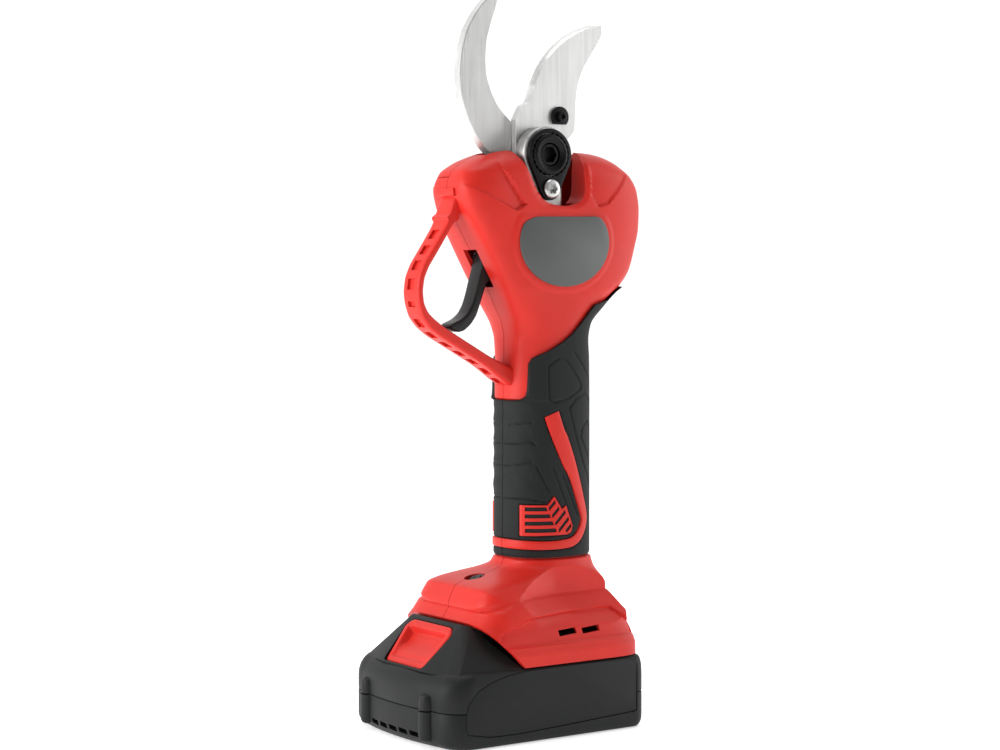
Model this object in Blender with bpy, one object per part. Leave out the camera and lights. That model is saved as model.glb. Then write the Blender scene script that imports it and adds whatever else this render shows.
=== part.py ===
"""Battery electric pruner, standing on its battery pack.

The tool is built in millimetres and written in metres. Z is up, along the grip, and the
grip's axis is X = 0. The trigger and the pack's latch face -X, the front. The flat sides
of the head face -Y (right cheek, with the pivot nut) and +Y (left cheek).
"""

import math

import bmesh
import bpy
import numpy as np
from mathutils import Matrix, Vector

MM = 0.001
GAP = 0.3  # play left between neighbouring pieces

# ---------------------------------------------------------------- driving dimensions
PARTING = 0.15  # each housing half stops this far from the middle plane
WALL = 2.2
RUBBER = 1.3
DRIVE_X = -7.0  # the motor, gearbox and blade pivot share this X
PIVOT_Z = 244.5
HEAD_HALF = 18.5
PACK_HALF = 40.0
PACK_FRONT = -77.0
PACK_REAR = 27.0
PACK_SPLIT = 15.4
PACK_TOP = 31.0
SEAM_FRONT = (-51.0, 48.0)  # X, Z where the slanted seam of base and pack starts
SEAM_FOOT = (-36.0, 31.3)
GRIP_BOTTOM = 72.0
GRIP_TOP_FRONT = 141.0

# Outer surface of the housing: height, front X, rear X, half thickness, and the corner
# powers of the rear and of the front. A larger power gives squarer corners; 2 is an ellipse.
HOUSING = [
    (31.3, -63.0, 26.6, 39.4, 9.0, 9.0),
    (37.0, -59.8, 26.6, 39.0, 9.0, 9.0),
    (40.6, -57.6, 25.9, 36.8, 8.5, 8.5),
    (46.5, -53.4, 24.6, 33.6, 7.0, 7.0),
    (52.2, -49.6, 23.2, 30.7, 6.0, 6.0),
    (55.2, -48.9, 22.2, 28.2, 5.6, 5.6),
    (58.6, -46.7, 21.5, 26.0, 5.0, 5.0),
    (61.0, -42.8, 21.1, 24.1, 4.4, 4.4),
    (65.6, -28.4, 20.8, 20.8, 3.3, 3.3),
    (71.5, -21.2, 20.6, 18.2, 2.6, 2.6),
    (72.5, -19.6, 18.9, 16.5, 2.45, 2.45),
    (139.4, -19.3, 18.7, 16.4, 2.45, 2.45),
    (140.6, -20.9, 18.6, 16.5, 2.5, 2.5),
    (158.0, -20.8, 18.2, 16.6, 2.6, 2.6),
    (166.0, -20.7, 17.7, 16.8, 2.7, 2.9),
    (172.0, -21.6, 18.9, 17.0, 2.8, 3.6),
    (180.0, -25.0, 25.7, 17.3, 3.0, 5.6),
    (186.0, -27.8, 31.9, 17.8, 3.2, 7.4),
    (188.4, -28.9, 35.5, 18.1, 3.2, 8.0),
    (196.0, -33.4, 41.1, 18.4, 3.4, 8.0),
    (205.0, -38.5, 43.8, HEAD_HALF, 3.6, 8.0),
    (214.0, -43.6, 45.8, HEAD_HALF, 3.8, 7.0),
    (222.0, -47.7, 46.3, HEAD_HALF, 3.8, 5.6),
    (230.0, -49.9, 45.4, HEAD_HALF, 3.7, 4.6),
    (236.0, -48.3, 42.3, 17.9, 3.5, 3.8),
    (240.5, -42.8, 37.2, 16.3, 3.2, 3.2),
    (244.0, -34.8, 31.1, 13.1, 3.0, 3.0),
    (246.8, -26.0, 23.0, 7.4, 2.6, 2.6),
]

# ---------------------------------------------------------------- materials


def material(name, color, roughness, metallic=0.0):
    """A plain Principled material."""
    made = bpy.data.materials.new(name)
    made.use_nodes = True
    shader = made.node_tree.nodes["Principled BSDF"]
    shader.inputs["Base Color"].default_value = (*color, 1.0)
    shader.inputs["Roughness"].default_value = roughness
    shader.inputs["Metallic"].default_value = metallic
    return made


def make_materials():
    return {
        "red": material("red_plastic", (0.62, 0.035, 0.025), 0.45),
        "rubber": material("black_rubber", (0.016, 0.018, 0.018), 0.7),
        "black": material("black_plastic", (0.02, 0.021, 0.021), 0.5),
        "badge": material("grey_badge", (0.07, 0.075, 0.075), 0.35),
        "blade": material("ground_steel", (0.72, 0.72, 0.71), 0.25, 1.0),
        "dark_steel": material("blackened_steel", (0.02, 0.02, 0.022), 0.35, 0.7),
        "bright": material("bright_steel", (0.75, 0.75, 0.75), 0.2, 1.0),
        "aluminium": material("cast_aluminium", (0.68, 0.69, 0.7), 0.3, 1.0),
        "brass": material("sintered_bronze", (0.5, 0.34, 0.14), 0.4, 1.0),
        "board": material("circuit_board", (0.02, 0.16, 0.07), 0.5),
        "copper": material("copper", (0.75, 0.35, 0.18), 0.3, 1.0),
        "cell": material("cell_wrap", (0.05, 0.22, 0.45), 0.4),
    }


# ---------------------------------------------------------------- making solids


def add_object(name, bm, mat, smooth_deg=35):
    """Turns a bmesh in millimetres into a named object in metres."""
    bmesh.ops.recalc_face_normals(bm, faces=bm.faces)
    bmesh.ops.scale(bm, vec=(MM, MM, MM), verts=bm.verts)
    mesh = bpy.data.meshes.new(name)
    bm.to_mesh(mesh)
    bm.free()
    mesh.materials.append(mat)
    mesh.shade_smooth()
    mesh.set_sharp_from_angle(angle=math.radians(smooth_deg))
    obj = bpy.data.objects.new(name, mesh)
    bpy.context.scene.collection.objects.link(obj)
    return obj


def boolean(obj, tool, operation="DIFFERENCE"):
    """Cuts tool from obj, or joins it on, and takes the tool away."""
    modifier = obj.modifiers.new(operation.lower(), "BOOLEAN")
    modifier.operation = operation
    modifier.object = tool
    bpy.context.view_layer.update()
    graph = bpy.context.evaluated_depsgraph_get()
    finished = bpy.data.meshes.new_from_object(obj.evaluated_get(graph))
    obj.modifiers.remove(modifier)
    obj.data = finished
    bpy.data.objects.remove(tool)
    return obj


def cut(obj, *tools):
    for tool in tools:
        boolean(obj, tool, "DIFFERENCE")
    return obj


def join(obj, *tools):
    for tool in tools:
        boolean(obj, tool, "UNION")
    return obj


def loft(rings, closed_rings=True):
    """A solid through equal rings of points, with the first and last ring filled."""
    bm = bmesh.new()
    rows = [[bm.verts.new(p) for p in ring] for ring in rings]
    count = len(rows[0])
    for low, high in zip(rows, rows[1:]):
        for i in range(count if closed_rings else count - 1):
            j = (i + 1) % count
            bm.faces.new((low[i], low[j], high[j], high[i]))
    bm.faces.new(rows[0])
    bm.faces.new(rows[-1])
    return bm


def prism(outline, low, high, axis="Y"):
    """An outline of (a, b) points run from low to high along an axis.

    The outline lies in XZ for axis Y, in XY for axis Z and in YZ for axis X."""
    place = {
        "Y": lambda p, h: (p[0], h, p[1]),
        "Z": lambda p, h: (p[0], p[1], h),
        "X": lambda p, h: (h, p[0], p[1]),
    }[axis]
    return loft([[place(p, h) for p in outline] for h in (low, high)])


def box(x, y, z):
    """A block between two values on each axis."""
    return prism([(x[0], z[0]), (x[1], z[0]), (x[1], z[1]), (x[0], z[1])], *y)


def arc(center, radius, start_deg, end_deg, count):
    """Points along a circular arc, both ends included."""
    angles = np.radians(np.linspace(start_deg, end_deg, count))
    return [
        (center[0] + radius * math.cos(t), center[1] + radius * math.sin(t))
        for t in angles
    ]


def circle(center, radius, count=24):
    return arc(center, radius, 0, 360 * (count - 1) / count, count)


def turned(profile, center, axis="Z", count=24):
    """A solid of revolution. The profile is (radius, height) from one end to the other;
    it closes on itself where no end lies on the axis, as in a ring."""
    ring = profile[0][0] > 0 and profile[-1][0] > 0
    place = {
        "Z": lambda a, b, h: (center[0] + a, center[1] + b, h),
        "Y": lambda a, b, h: (center[0] + a, h, center[1] + b),
        "X": lambda a, b, h: (h, center[0] + a, center[1] + b),
    }[axis]
    bm = bmesh.new()
    rows = []
    for radius, height in profile:
        if radius == 0:
            rows.append([bm.verts.new(place(0, 0, height))])
            continue
        rows.append(
            [bm.verts.new(place(a, b, height)) for a, b in circle((0, 0), radius, count)]
        )
    pairs = list(zip(rows, rows[1:])) + ([(rows[-1], rows[0])] if ring else [])
    for low, high in pairs:
        for i in range(count):
            j = (i + 1) % count
            corners = [low[i % len(low)], low[j % len(low)]]
            corners += [high[j % len(high)], high[i % len(high)]]
            bm.faces.new(list(dict.fromkeys(corners)))
    return bm


def rod(center, radius, low, high, axis="Y", count=20):
    """A plain round bar."""
    return prism(circle(center, radius, count), low, high, axis)


def tube(center, outer, inner, low, high, axis="Y", count=24):
    """A plain round sleeve or washer."""
    profile = [(outer, low), (outer, high), (inner, high), (inner, low)]
    return turned(profile, center, axis, count)


def gear_outline(teeth, pitch_radius, addendum, dedendum, phase=0.0, fill=0.40):
    """A toothed outline. The tooth is fill of the pitch wide at the pitch radius,
    narrower at its tip and wider at its root. phase is in teeth."""
    points = []
    for k in range(teeth):
        for share, radius in (
            (-(fill + 0.14) / 2, pitch_radius - dedendum),
            (-(fill - 0.16) / 2, pitch_radius + addendum),
            ((fill - 0.16) / 2, pitch_radius + addendum),
            ((fill + 0.14) / 2, pitch_radius - dedendum),
        ):
            t = 2 * math.pi * (k + phase + share) / teeth
            points.append((radius * math.cos(t), radius * math.sin(t)))
    return points


def moved(points, dx, dy):
    return [(a + dx, b + dy) for a, b in points]


def mirrored_y(bm):
    bmesh.ops.transform(bm, matrix=Matrix.Scale(-1, 4, Vector((0, 1, 0))), verts=bm.verts)
    return bm


# ---------------------------------------------------------------- housing


def housing_at(z, inset=0.0):
    """Front X, rear X, half thickness, rear power and front power at a height."""
    table = np.array(HOUSING)
    row = [np.interp(z, table[:, 0], table[:, k]) for k in range(1, 6)]
    return row[0] + inset, row[1] - inset, row[2] - inset, row[3], row[4]


def cheek(x, z):
    """Distance from the middle plane to the outer surface of the housing at a point."""
    front, rear, half, rear_power, front_power = housing_at(z)
    middle = (front + rear) / 2
    power = rear_power if x > middle else front_power
    share = abs(x - middle) / ((rear - front) / 2)
    return half * (1 - share**power) ** (1 / power)


def half_section(z, inset=0.0, count=16, flat=PARTING):
    """Half a section at height z, from the rear of the parting plane round to its front,
    on the -Y side: a superellipse, pressed flat at the parting plane."""
    front, rear, half, rear_power, front_power = housing_at(z, inset)
    middle, reach = (front + rear) / 2, (rear - front) / 2
    points = []
    for t in np.linspace(0, math.pi, count + 1):
        c, s = math.cos(t), math.sin(t)
        power = rear_power if c > 0 else front_power
        x = middle + reach * math.copysign(abs(c) ** (2 / power), c)
        y = -max(half * abs(s) ** (2 / power), flat)
        points.append((x, y, z))
    return points


def housing_half():
    """The -Y half of the housing, as one walled shell open at the base and the parting."""
    outer_z = [row[0] for row in HOUSING]
    inner_z = [outer_z[0]] + outer_z[1:-1] + [outer_z[-1] - WALL]
    outer = [half_section(z) for z in outer_z]
    inner = [half_section(z, WALL) for z in inner_z]
    bm = bmesh.new()
    out = [[bm.verts.new(p) for p in row] for row in outer]
    ins = [[bm.verts.new(p) for p in row] for row in inner]
    count = len(outer[0])
    for rows in (out, ins):
        for low, high in zip(rows, rows[1:]):
            for i in range(count - 1):
                bm.faces.new((low[i], low[i + 1], high[i + 1], high[i]))
        bm.faces.new(rows[-1])
    for i in range(count - 1):
        bm.faces.new((out[0][i], out[0][i + 1], ins[0][i + 1], ins[0][i]))
    for k in range(len(out) - 1):
        for end in (0, count - 1):
            bm.faces.new((out[k][end], out[k + 1][end], ins[k + 1][end], ins[k][end]))
    bm.faces.new((out[-1][0], out[-1][-1], ins[-1][-1], ins[-1][0]))
    return bm


# The U in the top of each cheek, where the pivot nut shows: X, Z from its front lip down
# round the bottom and up its rear side.
NOTCH = [
    (-20.5, 241.7), (-17.9, 234.8), (-15.7, 229.5), (-13.4, 226.3), (-10.6, 224.3), (-6.0, 223.1),
    (-1.0, 222.7), (3.4, 223.1), (6.8, 224.2), (8.9, 226.0), (10.0, 228.4), (10.3, 231.5), (10.3, 240.0),
]


def notch_outline(grow=0.0):
    """The notch carried up past the top of the housing, widened by an amount."""
    line = np.array(NOTCH)
    run = np.gradient(line, axis=0)
    run /= np.linalg.norm(run, axis=1)[:, None]
    line = line + np.stack([run[:, 1], -run[:, 0]], 1) * grow
    top = [(10.3 + grow, 262), (-26.5 - grow, 262)]
    return [tuple(point) for point in line] + top


SCREWS = [(36.0, 218.0), (-34.0, 213.0), (26.5, 194.0), (13.5, 61.0), (-34.0, 51.0)]
BOSS_RADIUS = 3.4
SCREW_RADIUS = 1.5
SCREW_SEAT = 3.2


def base_vents(side):
    """Cutters for the two cooling slots in each side of the base."""
    return [
        box((low, low + 9.2), sorted((side * 30.0, side * 42.0)), (42.2, 44.6))
        for low in (-15.2, -3.0)
    ]


def button_frame(bm):
    """Places a solid drawn flat at the origin on the sloping front of the base."""
    turn = Matrix.Rotation(math.radians(-25.5), 4, "Y")
    place = Matrix.Translation((BUTTON_AT[0], 0, BUTTON_AT[1]))
    bmesh.ops.transform(bm, matrix=place @ turn, verts=bm.verts)
    return bm


BUTTON_AT = (-34.8, 63.4)


def make_housing(mats):
    for name, side in (("housing_right", -1), ("housing_left", 1)):
        bm = housing_half()
        if side > 0:
            mirrored_y(bm)
        shell = add_object(name, bm, mats["red"])
        wall_ends = sorted((side * 13.8, side * (HEAD_HALF - 1.0)))
        liner = add_object("liner", prism(notch_outline(1.8), *wall_ends), mats["red"])
        above = [box((-60, 60), sorted((side * 10, side * 30)), (244.0, 280))]
        above += [prism([(30, 262), (30, 231), (12.3, 241), (12.3, 262)], *sorted((side, side * 30)))]
        above += [prism([(-40, 262), (-40, 236), (-22.6, 241.6), (-26, 262)], *sorted((side, side * 30)))]
        cut(liner, *[add_object("above", c, mats["red"]) for c in above])
        bosses = []
        for x, z in SCREWS:
            ends = sorted((side * PARTING, side * (cheek(x, z) - 1.6)))
            bosses.append(add_object("boss", rod((x, z), BOSS_RADIUS, *ends, count=12), mats["red"]))
        join(shell, liner, *bosses)
        cutters = [
            prism(notch_outline(), -30, 30),
            box((-34, 19), (-5.9, 5.0), (233, 262)),
            box((-62, -24), (-5.0, 5.0), (188.5, 204.2)),
            prism([(-60, 231), (-41, 231), (-41, 218.2), (-45.0, 213.4), (-60, 213.4)], -6.6, 6.6),
            box((-26, -17), (-6.6, 6.6), (145.6, 154.6)),
            prism([(-70, 69), SEAM_FRONT, SEAM_FOOT, (-36, 20), (-90, 20)], -50, 50),
            button_frame(prism(circle((0, 0), 4.4), -6, 6, "Z")),
        ]
        cutters += base_vents(side)
        for x, z in SCREWS:
            face = side * cheek(x, z)
            if side > 0:
                cutters.append(rod((x, z), SCREW_RADIUS + GAP, -1, 45, count=12))
                cutters.append(rod((x, z), 3.0, face - SCREW_SEAT, 45, count=14))
            else:
                cutters.append(rod((x, z), SCREW_RADIUS + GAP, face + 4.0, 1, count=12))
        cut(shell, *[add_object("cutter", c, mats["red"]) for c in cutters])


def make_housing_screws(mats):
    for k, (x, z) in enumerate(SCREWS, start=1):
        half = cheek(x, z)
        seat = half - SCREW_SEAT + GAP
        profile = [
            (0, -half + 6.0),
            (SCREW_RADIUS, -half + 7.0),
            (SCREW_RADIUS, seat),
            (2.7, seat),
            (2.7, seat + 1.2),
            (1.9, seat + 2.0),
            (1.2, seat + 2.0),
            (1.0, seat + 1.0),
            (0, seat + 1.0),
        ]
        add_object(f"housing_screw_{k}", turned(profile, (x, z), "Y", 12), mats["dark_steel"])


# ---------------------------------------------------------------- rubber grip and badges

# Upper edge of the rubber on the side of the tool, as (X, Z), from rear to front.
RUBBER_EDGE = [
    (40.0, 184.0), (24.8, 186.3), (13.6, 178.5), (7.1, 172.2), (-0.2, 165.7), (-11.0, 160.2),
    (-15.4, 157.0), (-16.6, 150.0), (-16.8, 144.0), (-18.6, 140.6), (-40.0, 140.6),
]


def rubber_half(count=16):
    """One half of the moulded grip: a skin on the housing, trimmed along its upper edge."""
    heights = [73.4] + [row[0] for row in HOUSING if 73.4 < row[0] < 187] + [187.0]
    inner = [half_section(z, -GAP, count, PARTING + 0.01) for z in heights]
    outer = [half_section(z, -GAP - RUBBER, count, PARTING + 0.01) for z in heights]
    bm = bmesh.new()
    out = [[bm.verts.new(p) for p in row] for row in outer]
    ins = [[bm.verts.new(p) for p in row] for row in inner]
    for rows in (out, ins):
        for low, high in zip(rows, rows[1:]):
            for i in range(count):
                bm.faces.new((low[i], low[i + 1], high[i + 1], high[i]))
    for row in (0, -1):
        for i in range(count):
            bm.faces.new((out[row][i], out[row][i + 1], ins[row][i + 1], ins[row][i]))
    for k in range(len(out) - 1):
        for end in (0, count):
            bm.faces.new((out[k][end], out[k + 1][end], ins[k + 1][end], ins[k][end]))
    return bm


def badge_outline():
    """The badge: an ellipse cut straight across near its top."""
    bow = [(-1.6 + 23.5 * math.cos(math.radians(a)), 207.6 + 19.2 * math.sin(math.radians(a)))
           for a in range(154, 387, 13)]
    return [(16.9, 218.3), (-17.4, 217.9), *bow]


def make_grip_and_badges(mats):
    above = [*RUBBER_EDGE, (-40, 220), (40, 220)]
    for name, side in (("grip_rubber_right", -1), ("grip_rubber_left", 1)):
        skin = rubber_half()
        if side > 0:
            mirrored_y(skin)
        rubber = add_object(name, skin, mats["rubber"])
        cut(rubber, add_object("above", prism(above, -30, 30), mats["rubber"]))
    face = HEAD_HALF + GAP
    outline = badge_outline()
    add_object("badge_right", prism(outline, -face - 0.8, -face), mats["badge"])
    add_object("badge_left", prism(outline, face, face + 0.8), mats["badge"])


# ---------------------------------------------------------------- trigger guard

# Middle line of the guard's bow, from the head to the grip, as (X, Z).
GUARD_PATH = [
    (-46.4, 223.8), (-49.4, 218.4), (-52.5, 212.8), (-57.2, 205.7), (-63.2, 197.3), (-65.4, 192.2),
    (-66.2, 186.5), (-65.6, 181.4), (-63.4, 176.4), (-59.9, 172.7), (-55.1, 169.4), (-42.2, 162.3),
    (-28.9, 154.9), (-19.8, 149.9),
]
GUARD_THIN = 3.2  # thickness of the upper run of the bow
GUARD_THICK = 5.8  # thickness of the lower run
GUARD_WIDE = 12.4


def along(path, steps):
    """Points and unit normals at even distances along a broken line."""
    pts = np.array(path)
    runs = np.concatenate([[0], np.cumsum(np.hypot(*np.diff(pts, axis=0).T))])
    at = np.linspace(0, runs[-1], steps)
    line = np.stack([np.interp(at, runs, pts[:, 0]), np.interp(at, runs, pts[:, 1])], 1)
    heading = np.gradient(line, axis=0)
    heading /= np.linalg.norm(heading, axis=1)[:, None]
    return line, np.stack([-heading[:, 1], heading[:, 0]], 1)


def make_guard(mats):
    line, normal = along(GUARD_PATH, 36)
    corners = ((1, 0.75), (0.5, 1), (-0.5, 1), (-1, 0.75), (-1, -0.75), (-0.5, -1), (0.5, -1), (1, -0.75))
    wide = GUARD_WIDE / 2
    rings = []
    for p, n in zip(line, normal):
        half = np.interp(p[1], [171.0, 180.0], [GUARD_THICK, GUARD_THIN]) / 2
        rings.append([(p[0] + n[0] * half * a, b * wide, p[1] + n[1] * half * a) for a, b in corners])
    guard = add_object("trigger_guard", loft(rings), mats["red"])
    root = [(-50.4, 229.4), (-43.0, 230.2), (-43.0, 219.0), (-46.4, 216.6), (-50.8, 214.4)]
    root += [(-53.4, 216.6), (-52.6, 219.6), (-50.8, 223.4), (-51.0, 227.4)]
    join(guard, add_object("root", prism(root, -wide, wide), mats["red"]))
    pockets = []
    fine, fine_normal = along(GUARD_PATH, 121)
    for k in range(12):
        i = 22 + 7 * k
        p, n = fine[i], fine_normal[i]
        out = n if n[0] < 0 else -n
        half = np.interp(p[1], [171.0, 180.0], [GUARD_THICK, GUARD_THIN]) / 2
        center = p + out * half
        t = np.array([out[1], -out[0]])
        quad = [center + t * a + out * b for a, b in ((-1.4, -1.1), (1.4, -1.1), (1.4, 2), (-1.4, 2))]
        pockets.append(prism([tuple(q) for q in quad], -2.6, 2.6))
    return cut(guard, *[add_object("pocket", c, mats["red"]) for c in pockets])


# ---------------------------------------------------------------- blades and pivot

PIVOT = (DRIVE_X, PIVOT_Z)
HUB = 10.8
SLEEVE = 7.0
BOLT = 5.0

# Outer edge of the hooked blade, upward, then its inner edge, downward, as (X, Z).
HOOK_OUTER = [
    (-27.6, 244.0), (-34.7, 250.6), (-39.8, 258.8), (-42.9, 267.0), (-43.9, 277.5), (-42.8, 288.0),
    (-40.3, 296.6), (-36.2, 303.6), (-31.7, 308.5), (-28.0, 312.0), (-24.6, 313.0),
]
HOOK_INNER = [
    (-23.8, 310.4), (-27.9, 301.1), (-30.4, 292.5), (-31.0, 284.1), (-30.4, 277.8), (-28.4, 271.6),
    (-24.8, 265.5), (-20.7, 261.4), (-15.0, 258.4),
]
# Cutting edge of the moving blade from tip to heel, then its back from the pivot to the tip.
BLADE_EDGE = [
    (27.8, 302.7), (21.8, 302.0), (14.7, 299.3), (8.3, 295.8), (2.9, 292.0), (-1.8, 287.0),
    (-5.7, 282.1), (-8.7, 275.7), (-11.0, 268.7), (-14.9, 266.0), (-18.6, 259.3),
]
BLADE_BACK = [
    (9.6, 251.0), (13.1, 255.9), (13.5, 268.0), (14.3, 274.4), (15.4, 278.9), (17.8, 284.0),
    (21.8, 289.3), (26.6, 296.0), (27.8, 298.6),
]


def toward(points, target, distance):
    """Points moved a distance towards another list of points."""
    made = []
    for p, q in zip(points, target):
        gap = Vector(q) - Vector(p)
        made.append(tuple(Vector(p) + gap.normalized() * min(distance, gap.length * 0.45)))
    return made


def make_blades(mats):
    hub = arc(PIVOT, HUB, 100, -120, 13)
    tail = [(-14.5, 233.0), (-14.5, 221.5), (-31.0, 221.5), (-31.0, 238.0)]
    inner = [HOOK_INNER[0], *HOOK_INNER[1:]]
    full = [*HOOK_OUTER, *inner, *hub, *tail]
    opposite = np.interp(np.linspace(0, 1, len(inner)), [0, 1], [9.2, 0.6])
    across = [
        (
            float(np.interp(k, range(len(HOOK_OUTER)), [p[0] for p in HOOK_OUTER])),
            float(np.interp(k, range(len(HOOK_OUTER)), [p[1] for p in HOOK_OUTER])),
        )
        for k in opposite
    ]
    ground = [*HOOK_OUTER, *toward(inner, across, 2.0), *hub, *tail]
    rings = [[(x, y, z) for x, z in o] for o, y in ((full, -1.9), (full, 1.2), (ground, 3.0))]
    fixed = add_object("fixed_blade", loft(rings), mats["blade"])
    cutters = [rod(PIVOT, SLEEVE + 0.4, -5, 8, count=24)]
    cutters += [rod(at, 1.6 + GAP, -5, 8, count=10) for at in TAIL_SCREWS]
    cut(fixed, *[add_object("cutter", c, mats["blade"]) for c in cutters])

    hub = arc(PIVOT, HUB, 172, 372, 12)
    full = [*BLADE_EDGE, *hub, *BLADE_BACK]
    opposite = np.linspace(len(BLADE_BACK) - 1, 0, len(BLADE_EDGE))
    across = [
        (
            float(np.interp(k, range(len(BLADE_BACK)), [p[0] for p in BLADE_BACK])),
            float(np.interp(k, range(len(BLADE_BACK)), [p[1] for p in BLADE_BACK])),
        )
        for k in opposite
    ]
    depths = [0.0, 2.6, 3.4, 4.0, 4.2, 4.4, 4.4, 4.2, 3.2, 0.8, 0.0]
    ground = [toward([p], [q], d)[0] for p, q, d in zip(BLADE_EDGE, across, depths)]
    near = [*ground, *hub, *BLADE_BACK]
    rings = [[(x, y, z) for x, z in o] for o, y in ((near, -5.7), (full, -2.7), (full, -2.2))]
    moving = add_object("moving_blade", loft(rings), mats["blade"])
    cutters = [rod(PIVOT, SLEEVE + GAP, -8, 2, count=24)]
    cutters += [rod(BLADE_SCREW, 2.3, -8, 2, count=12)]
    cut(moving, *[add_object("cutter", c, mats["blade"]) for c in cutters])
    flange = circle(BLADE_SCREW, 4.5, 20)
    flange = [(x, max(z, BLADE_SCREW[1] - 3.2)) for x, z in flange]
    screw = add_object("blade_screw", prism(flange, -7.2, -6.0), mats["dark_steel"])
    hexagon = circle(BLADE_SCREW, 2.3, 6)
    head = add_object("head", prism(hexagon, -9.0, -7.0), mats["dark_steel"])
    shank = add_object("shank", rod(BLADE_SCREW, 2.0, -6.5, -2.4, count=12), mats["dark_steel"])
    join(screw, head, shank)


BLADE_SCREW = (4.6, 261.5)
TAIL_SCREWS = [(-27.0, 228.5), (-19.0, 225.5)]
LOCK_SCREW = (DRIVE_X, 230.0)


def teardrop(ring, lobe, bottom):
    """A ring round the pivot narrowing to a round lobe below it."""
    lean = math.degrees(math.asin((ring - lobe) / (PIVOT_Z - bottom)))
    upper = arc(PIVOT, ring, -lean, 180 + lean, 21)
    lower = arc((DRIVE_X, bottom), lobe, 180 + lean, 360 - lean, 9)
    return upper + lower


def make_pivot(mats):
    case = add_object("gear_case", box((-18.6, 5.6), (-13.3, 13.3), (195.0, 212.5)), mats["aluminium"])
    more = [
        prism(teardrop(12.2, 7.4, 233.2), -13.6, -6.9),
        prism(teardrop(12.2, 7.4, 233.2), 11.0, 13.6),
        box((-15.0, 1.0), (-13.3, -7.6), (212, 234)),
        box((-15.0, 1.0), (11.0, 13.3), (212, 234)),
        box((-31.5, -15), (-9.0, -2.2), (220.0, 232.5)),
        box((-15.0, -12.0), (-13.3, -6.9), (214, 234)),
    ]
    join(case, *[add_object("arm", c, mats["aluminium"]) for c in more])
    holes = [
        rod(PIVOT, 6.8, -20, -4, count=20),
        rod(PIVOT, BOLT + GAP, -4, 20, count=20),
        rod((DRIVE_X, 0), 7.6, 212.6, 234.6, "Z", 20),
        rod((DRIVE_X, 0), 6.8, 190, 206, "Z", 20),
        rod((DRIVE_X, 0), 3.7, 190, 215, "Z", 16),
        rod(LOCK_SCREW, 2.0, -20, -8, count=12),
    ]
    holes += [rod(at, 1.6 + GAP, -12, 0, count=10) for at in TAIL_SCREWS]
    cut(case, *[add_object("hole", c, mats["aluminium"]) for c in holes])

    add_object("pivot_bush", tube(PIVOT, 6.5, BOLT + GAP, -13.3, -7.2, count=20), mats["brass"])
    add_object("thrust_washer", tube(PIVOT, 9.0, BOLT + GAP, -6.6, -6.0, count=20), mats["brass"])
    bolt = [(0, -13.6), (3.0, -13.6), (3.3, -15.2), (4.6, -15.2), (BOLT, -14.8), (BOLT, 13.9)]
    bolt += [(8.4, 13.9), (8.4, 16.0), (7.4, 17.0), (3.6, 17.0), (3.2, 15.2), (0, 15.2)]
    add_object("pivot_bolt", turned(bolt, PIVOT, "Y", 20), mats["dark_steel"])
    nut = [(8.8, -13.9), (8.8, -16.4), (8.0, -17.0), (6.4, -16.6), (5.3, -15.4), (5.3, -13.9)]
    add_object("pivot_nut", turned(nut, PIVOT, "Y", 24), mats["dark_steel"])
    plate = add_object("lock_plate", prism(teardrop(11.2, 5.0, 230.0), -16.0, -13.9), mats["dark_steel"])
    holes = [rod(PIVOT, 9.1, -20, -10, count=24), rod(LOCK_SCREW, 2.0, -20, -10, count=12)]
    cut(plate, *[add_object("hole", c, mats["dark_steel"]) for c in holes])
    head = [(0, -8.8), (1.7, -9.2), (1.7, -16.3), (3.9, -16.3), (3.9, -17.2), (3.0, -18.0)]
    head += [(1.6, -18.0), (1.4, -16.8), (0, -16.8)]
    add_object("lock_screw", turned(head, LOCK_SCREW, "Y", 14), mats["bright"])
    for k, at in enumerate(TAIL_SCREWS, start=1):
        profile = [(0, 2.6), (1.6, 2.2), (1.6, -9.3), (3.0, -9.3), (3.0, -10.8), (2.4, -11.4)]
        profile += [(1.2, -11.4), (1.0, -10.4), (0, -10.4)]
        add_object(f"fixed_blade_screw_{k}", turned(profile, at, "Y", 12), mats["dark_steel"])


# ---------------------------------------------------------------- drive train

SUN_TEETH, PLANET_TEETH, RING_TEETH = 9, 12, 33
MODULE = 0.6
PLANET_ORBIT = MODULE * (SUN_TEETH + PLANET_TEETH) / 2
BEVEL_TEETH, SECTOR_TEETH = 9, 27
CONE = (12.8, 18.0)  # inner and outer cone distance of the bevel pair


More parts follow.
